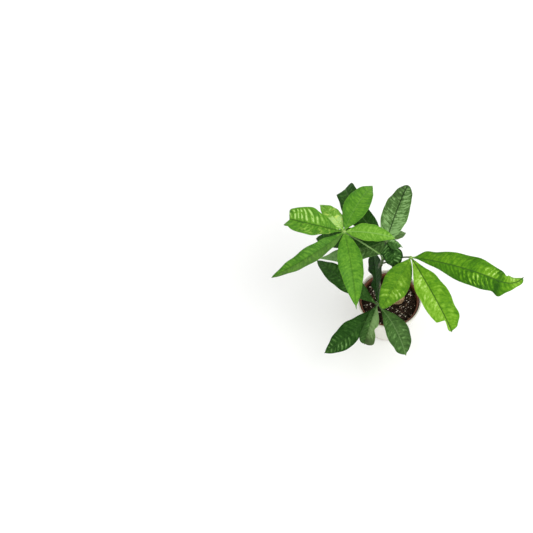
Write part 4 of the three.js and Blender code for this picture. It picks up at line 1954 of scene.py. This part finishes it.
TOP_LEAF = PalmateLeaf(
    name="young_leaf_left",
    node="leaf_top",
    slot=Slot.YOUNG_LEAF,
    blade=YOUNG_BLADE,
    stalk=BRIGHT_STALK,
    joint=BRIGHT_JOINT,
    hub=(-79, 27, 262),
    petiole=(
        (-17, 15.5, 194),
        (-19.5, 12, 208),
        (-21.8, 7.8, 222),
        (-26.5, 3.7, 236),
        (-37.5, 5.3, 248),
        (-54, 13, 256),
    ),
    leaflets=(
        Leaflet(
            104, 38, 62, 20, -35, -11, 0.46, 5, roll=(6, 4),
            left=(0.40, 0.48), right=(0.44, 0.49), quilt=0.15, sheen=(0.15, 0.15), rib=0.25,
        ),
        Leaflet(
            83, 30, -4, 18, -35, 4, 0.44, 4,
            left=(0.66, 0.62), right=(0.61, 0.66), quilt=0.3, sheen=(0.2, 0.2), rib=0.6,
        ),
        Leaflet(
            127, 38, -81, 12, -50, -1, 0.42, 6, drip=8,
            left=(0.48, 0.5), right=(0.46, 0.52), quilt=0.22, sheen=(0.1, 0.06), rib=-0.4, veins=0.05,
            loose=0.3,
        ),
        Leaflet(
            139, 28, -151, 14, -40, -38, 0.46, 20, roll=(0, -8),
            left=(0.40, 0.36), right=(0.36, 0.38), dull=(0.5, 0.1), quilt=0.35, rib=-0.3, loose=0.4,
        ),
        Leaflet(
            107, 50, 165, 14, -14, -16, 0.56, 20, curl=-115, curl_at=0.77, curl_span=0.1, drip=6,
            left=(0.53, 0.47), right=(0.54, 0.58), quilt=0.9, sheen=(0.2, 0.7), rib=-0.7, mottle=(0.3, 0.0),
            glints=((-1, 0.62, 0.22, 0.9), (1, 0.5, 0.12, 0.5)), swells=((1, 0.86, 0.09, -0.12),),
        ),
        Leaflet(
            66, 25, 125, 12, -30, 10, 0.5, 6, swells=((1, 0.2, 0.14, 0.9), (-1, 0.2, 0.14, 0.7)),
            left=(0.80, 0.66), right=(0.76, 0.64), quilt=0.4, mottle=(1.0, 0.9), loose=0.5,
            shades=((1, 0.35, 0.14, 0.35), (-1, 0.3, 0.14, 0.35)),
        ),
    ),
)
RIGHT_LEAF = PalmateLeaf(
    name="young_leaf_right",
    node="leaf_right",
    slot=Slot.YOUNG_LEAF,
    blade=RIPE_BLADE,
    stalk=RIPE_STALK,
    joint=BRIGHT_JOINT,
    hub=(25, 5, 219),
    petiole=((-18.5, 14, 178), (-8, 13, 188), (3, 12, 199), (15, 9, 211)),
    leaflets=(
        Leaflet(
            97, 40, -125, 5, -60, -18, 0.46, 4, full=(1.1, 0.55), drip=1.5,
            swells=((1, 0.58, 0.16, 0.15),), dull=(0.1, 0.1),
            left=(0.58, 0.54), right=(0.48, 0.5), quilt=0.6, rib=-0.2, veins=0.08,
            glints=((1, 0.58, 0.12, 0.9), (-1, 0.75, 0.12, 0.6)), loose=0.4, gap=8.5,
        ),
        Leaflet(
            141, 47, -59, 16, -55, 15, 0.58, 14, full=(0.9, 0.5), nip=(-1, 0.77, 0.85),
            swells=(
                (1, 0.9, 0.1, 0.35), (1, 0.975, 0.03, 0.5), (-1, 0.96, 0.06, 2.5), (-1, 0.36, 0.18, 0.22),
            ),
            left=(0.58, 0.56), right=(0.76, 0.72), sheen=(0.2, 0.25), rib=-0.9, gap=10,
            veins=0.09, loose=0.5,
        ),
        Leaflet(
            194, 47, -18, 20, -28, 0, 0.56, -4, hook=70, curl_at=0.7, curl_span=0.3, drip=6,
            full=(1.05, 0.65),
            swells=(
                (1, 0.07, 0.07, 2.2), (1, 0.16, 0.12, 0.7), (1, 0.38, 0.14, 0.2), (1, 0.805, 0.03, -0.3),
                (-1, 0.5, 0.07, 0.08), (-1, 0.75, 0.03, 0.4), (-1, 0.88, 0.06, -0.4),
            ),
            # painted shade along the fold before the tip, a paler tip, and darker and paler patches
            shades=(
                (-1, 0.725, 0.02, -0.3), (1, 0.74, 0.03, -0.25), (1, 0.88, 0.08, 0.3), (-1, 0.88, 0.08, 0.35),
                (-1, 0.55, 0.2, -0.16), (1, 0.5, 0.08, -0.12), (1, 0.62, 0.05, 0.12),
            ),
            left=(0.46, 0.47), right=(0.36, 0.36), quilt=1.0, sheen=(0.15, 0.15), rib=-0.8, loose=0.3,
            glints=((-1, 0.56, 0.12, 1.7), (1, 0.68, 0.08, 1.0), (-1, 0.88, 0.08, 0.3)),
        ),
    ),
)
BACK_LEAF = PalmateLeaf(
    name="old_leaf_back",
    node="leaf_back",
    slot=Slot.OLD_LEAF,
    blade=OLD_BLADE,
    stalk=DARK_STALK,
    joint=DARK_JOINT,
    hub=(-13, 26, 232),
    petiole=((-12.5, 18, 206), (-14, 21, 213), (-14, 24, 222)),
    leaflets=(
        Leaflet(
            139, 42, 119, 18, -30, -48, 0.5, 6, roll=(0, -32), curl=-82, hook=14, drip=6,
            full=(1.1, 0.4), swells=((1, 0.86, 0.08, 0.15), (-1, 0.86, 0.08, 0.1), (-1, 0.42, 0.22, -0.25)),
            left=(0.46, 0.54), right=(0.48, 0.46), quilt=0.5, sheen=(0.25, 0.2), rib=0.4,
        ),
        Leaflet(
            113, 41, 70, 24, -30, -2, 0.38, 10, full=(0.8, 0.6), drip=1, swells=((-1, 0.86, 0.13, 0.12),),
            left=(1.04, 0.46), right=(1.1, 0.58), quilt=0.5, sheen=(0.4, 0.4), rib=-0.9, veins=0.28,
            dull=(0.2, 0.15), glints=((-1, 0.8, 0.08, 0.6),), gap=9.5, loose=0.9,
        ),
        Leaflet(
            46, 15, 37, -5, -45, 0, 0.5, 8,
            left=(0.76, 0.74), right=(0.74, 0.74), dull=(0.4, 0.4), quilt=0.2,
        ),
        Leaflet(
            31, 18, -11, 14, -60, 8, 0.42, 8, drip=6, full=(0.6, 0.9),
            swells=((-1, 0.3, 0.3, 0.3), (1, 0.6, 0.35, -0.5)),
            left=(0.82, 0.8), right=(0.62, 0.68), quilt=0.3,
        ),
        Leaflet(
            50, 30, -77, -14, -78, -60, 0.5, 8, drip=6, full=(0.5, 0.75),
            swells=((-1, 0.2, 0.16, 0.7), (1, 0.2, 0.15, -0.3), (1, 0.75, 0.15, 0.12)),
            left=(0.32, 0.3), right=(0.3, 0.3), quilt=0.9, sheen=(1.5, 1.3), gap=6.5, wave=0.07,
            loose=0.6,
        ),
        # darker near the hub, as painted shadow of the leaf above, and paler towards the tip
        Leaflet(
            115, 34, -177, -12, -35, -37, 0.36, 8, full=(0.8, 1.0), swells=((1, 0.1, 0.08, 0.5),),
            left=(0.58, 1.2), right=(0.55, 1.15), dull=(0.15, 0.15), quilt=0.4, rib=0.3,
        ),
        Leaflet(
            116, 38, 168, -5, -30, -11, 0.5, 8, full=(1.1, 0.6), drip=1,
            left=(0.5, 0.48), right=(0.52, 0.5), rib=0.3,
        ),
    ),
)
FRONT_LEAF = PalmateLeaf(
    name="old_leaf_front",
    node="leaf_front",
    slot=Slot.OLD_LEAF,
    blade=OLD_BLADE,
    stalk=DARK_STALK,
    joint=DARK_JOINT,
    hub=(-24, -42, 148),
    petiole=((-18.5, -1, 121), (-20, -14, 130), (-22, -28, 141)),
    leaflets=(
        Leaflet(
            131, 36, 138, 18, -30, -20, 0.5, 8,
            left=(0.64, 0.44), right=(0.66, 0.46), quilt=0.4, rib=0.2,
        ),
        Leaflet(
            103, 26, 93, 24, -25, -1, 0.55, 8, roll=(-60, -50),
            swells=(
                (-1, 0.4, 0.35, 0.45), (1, 0.47, 0.09, -0.5), (-1, 0.53, 0.1, 0.3), (1, 0.75, 0.12, 0.2),
                (-1, 0.92, 0.08, 0.8),
            ),
            left=(0.27, 0.27), right=(0.34, 0.34), wave=0.08,
        ),
        Leaflet(79, 30, 40, 15, -30, -34, 0.5, 8, left=(0.5, 0.48), right=(0.5, 0.52), quilt=0.4),
        Leaflet(
            121, 38, -143, 10, -50, -45, 0.56, 6, swells=((1, 0.31, 0.17, -0.6),),
            left=(0.46, 0.5), right=(0.43, 0.46), quilt=0.5, rib=0.15,
            glints=((1, 0.75, 0.16, 0.8), (-1, 0.85, 0.12, 0.6)),
        ),
        Leaflet(
            76, 33, -110, 30, -74, -3, 0.6, 32, full=(1.0, 0.5),
            swells=((1, 0.58, 0.06, -0.3), (1, 0.84, 0.12, 0.45), (-1, 0.5, 0.3, -0.42)),
            left=(1.1, 0.95), dull=(0.5, 0.1), quilt=0.6, rib=0.2,
            shades=((1, 0.98, 0.26, -0.6),), glints=((-1, 0.45, 0.2, 0.4),), loose=0.4,
        ),
        Leaflet(
            97, 38, -60, 14, -50, -15, 0.6, 8, nip=(1, 0.92, 0.6), swells=((-1, 0.93, 0.09, 0.45),),
            left=(0.7, 0.58), right=(0.66, 0.66), dull=(0.16, 0.1), quilt=0.5, rib=0.9,
            loose=0.4,
        ),
    ),
)


# ---------------------------------------------------------------- studio


@dataclass
class Studio:
    """A pale floor under soft, even light, brightest from above and behind."""

    floor_size: float = 8.0
    sky: float = 0.98
    key_power: float = 40.0
    key_size: float = 2.4
    key_place: Point = (1.4, -1.0, 2.4)
    key_aim: Point = (0.0, 0.0, 0.15)
    paper: Paper = field(default_factory=Paper)

    def build(self) -> None:
        """Sets the floor, the sky and the lamp."""
        half = self.floor_size / 2
        mesh = bpy.data.meshes.new("pale_floor")
        corners = [(-half, -half, 0), (half, -half, 0), (half, half, 0), (-half, half, 0)]
        mesh.from_pydata(corners, [], [(0, 1, 2, 3)])
        mesh.materials.append(self.paper.material())
        floor = bpy.data.objects.new("pale_floor", mesh)
        bpy.context.scene.collection.objects.link(floor)
        self._sky()
        self._key_light()
        bpy.context.scene.view_settings.view_transform = "Standard"
        log.info("studio: floor %.0f m wide, sky %.2f", self.floor_size, self.sky)

    def _sky(self) -> None:
        """Sets an even white sky."""
        world = bpy.data.worlds.new("soft_sky")
        world.use_nodes = True
        back = world.node_tree.nodes["Background"]
        back.inputs["Color"].default_value = (1.0, 1.0, 0.995, 1.0)
        back.inputs["Strength"].default_value = self.sky
        bpy.context.scene.world = world

    def _key_light(self) -> None:
        """Hangs a large square lamp that points at the plant."""
        lamp = bpy.data.lights.new("key_light", "AREA")
        lamp.shape = "SQUARE"
        lamp.size = self.key_size
        lamp.energy = self.key_power
        hung = bpy.data.objects.new("key_light", lamp)
        hung.location = self.key_place
        aim = Vector(self.key_aim) - Vector(self.key_place)
        hung.rotation_euler = aim.to_track_quat("-Z", "Y").to_euler()
        bpy.context.scene.collection.objects.link(hung)


@dataclass
class PhotoCamera:
    """The camera, 63.5 degrees above the table, straight in front of the pot."""

    location: Point = (-0.1978, -1.2919, 2.7880)
    tilt: float = 26.5
    lens: float = 125.86
    sensor: float = 36.0

    def build(self) -> None:
        """Places the camera and makes it the scene's own."""
        data = bpy.data.cameras.new("photo_camera")
        data.lens = self.lens
        data.sensor_width = self.sensor
        camera = bpy.data.objects.new("photo_camera", data)
        camera.location = self.location
        camera.rotation_euler = (math.radians(self.tilt), 0.0, 0.0)
        bpy.context.scene.collection.objects.link(camera)
        bpy.context.scene.camera = camera
        log.info("camera: %.2f mm lens, tilted %.1f degrees", self.lens, self.tilt)


def main() -> None:
    """Builds the studio, the camera and every piece."""
    logging.basicConfig(level=logging.INFO, format="%(name)s: %(message)s")
    Studio().build()
    PhotoCamera().build()
    cover = CoverPot()
    cover.build()
    nursery = NurseryPot(cover)
    nursery.build()
    stump = Stump()
    stump.build()
    SoilBed(nursery, stump).build()
    Shoot().build()
    for leaf in (TOP_LEAF, RIGHT_LEAF, BACK_LEAF, FRONT_LEAF):
        leaf.build()


if __name__ == "__main__":
    main()
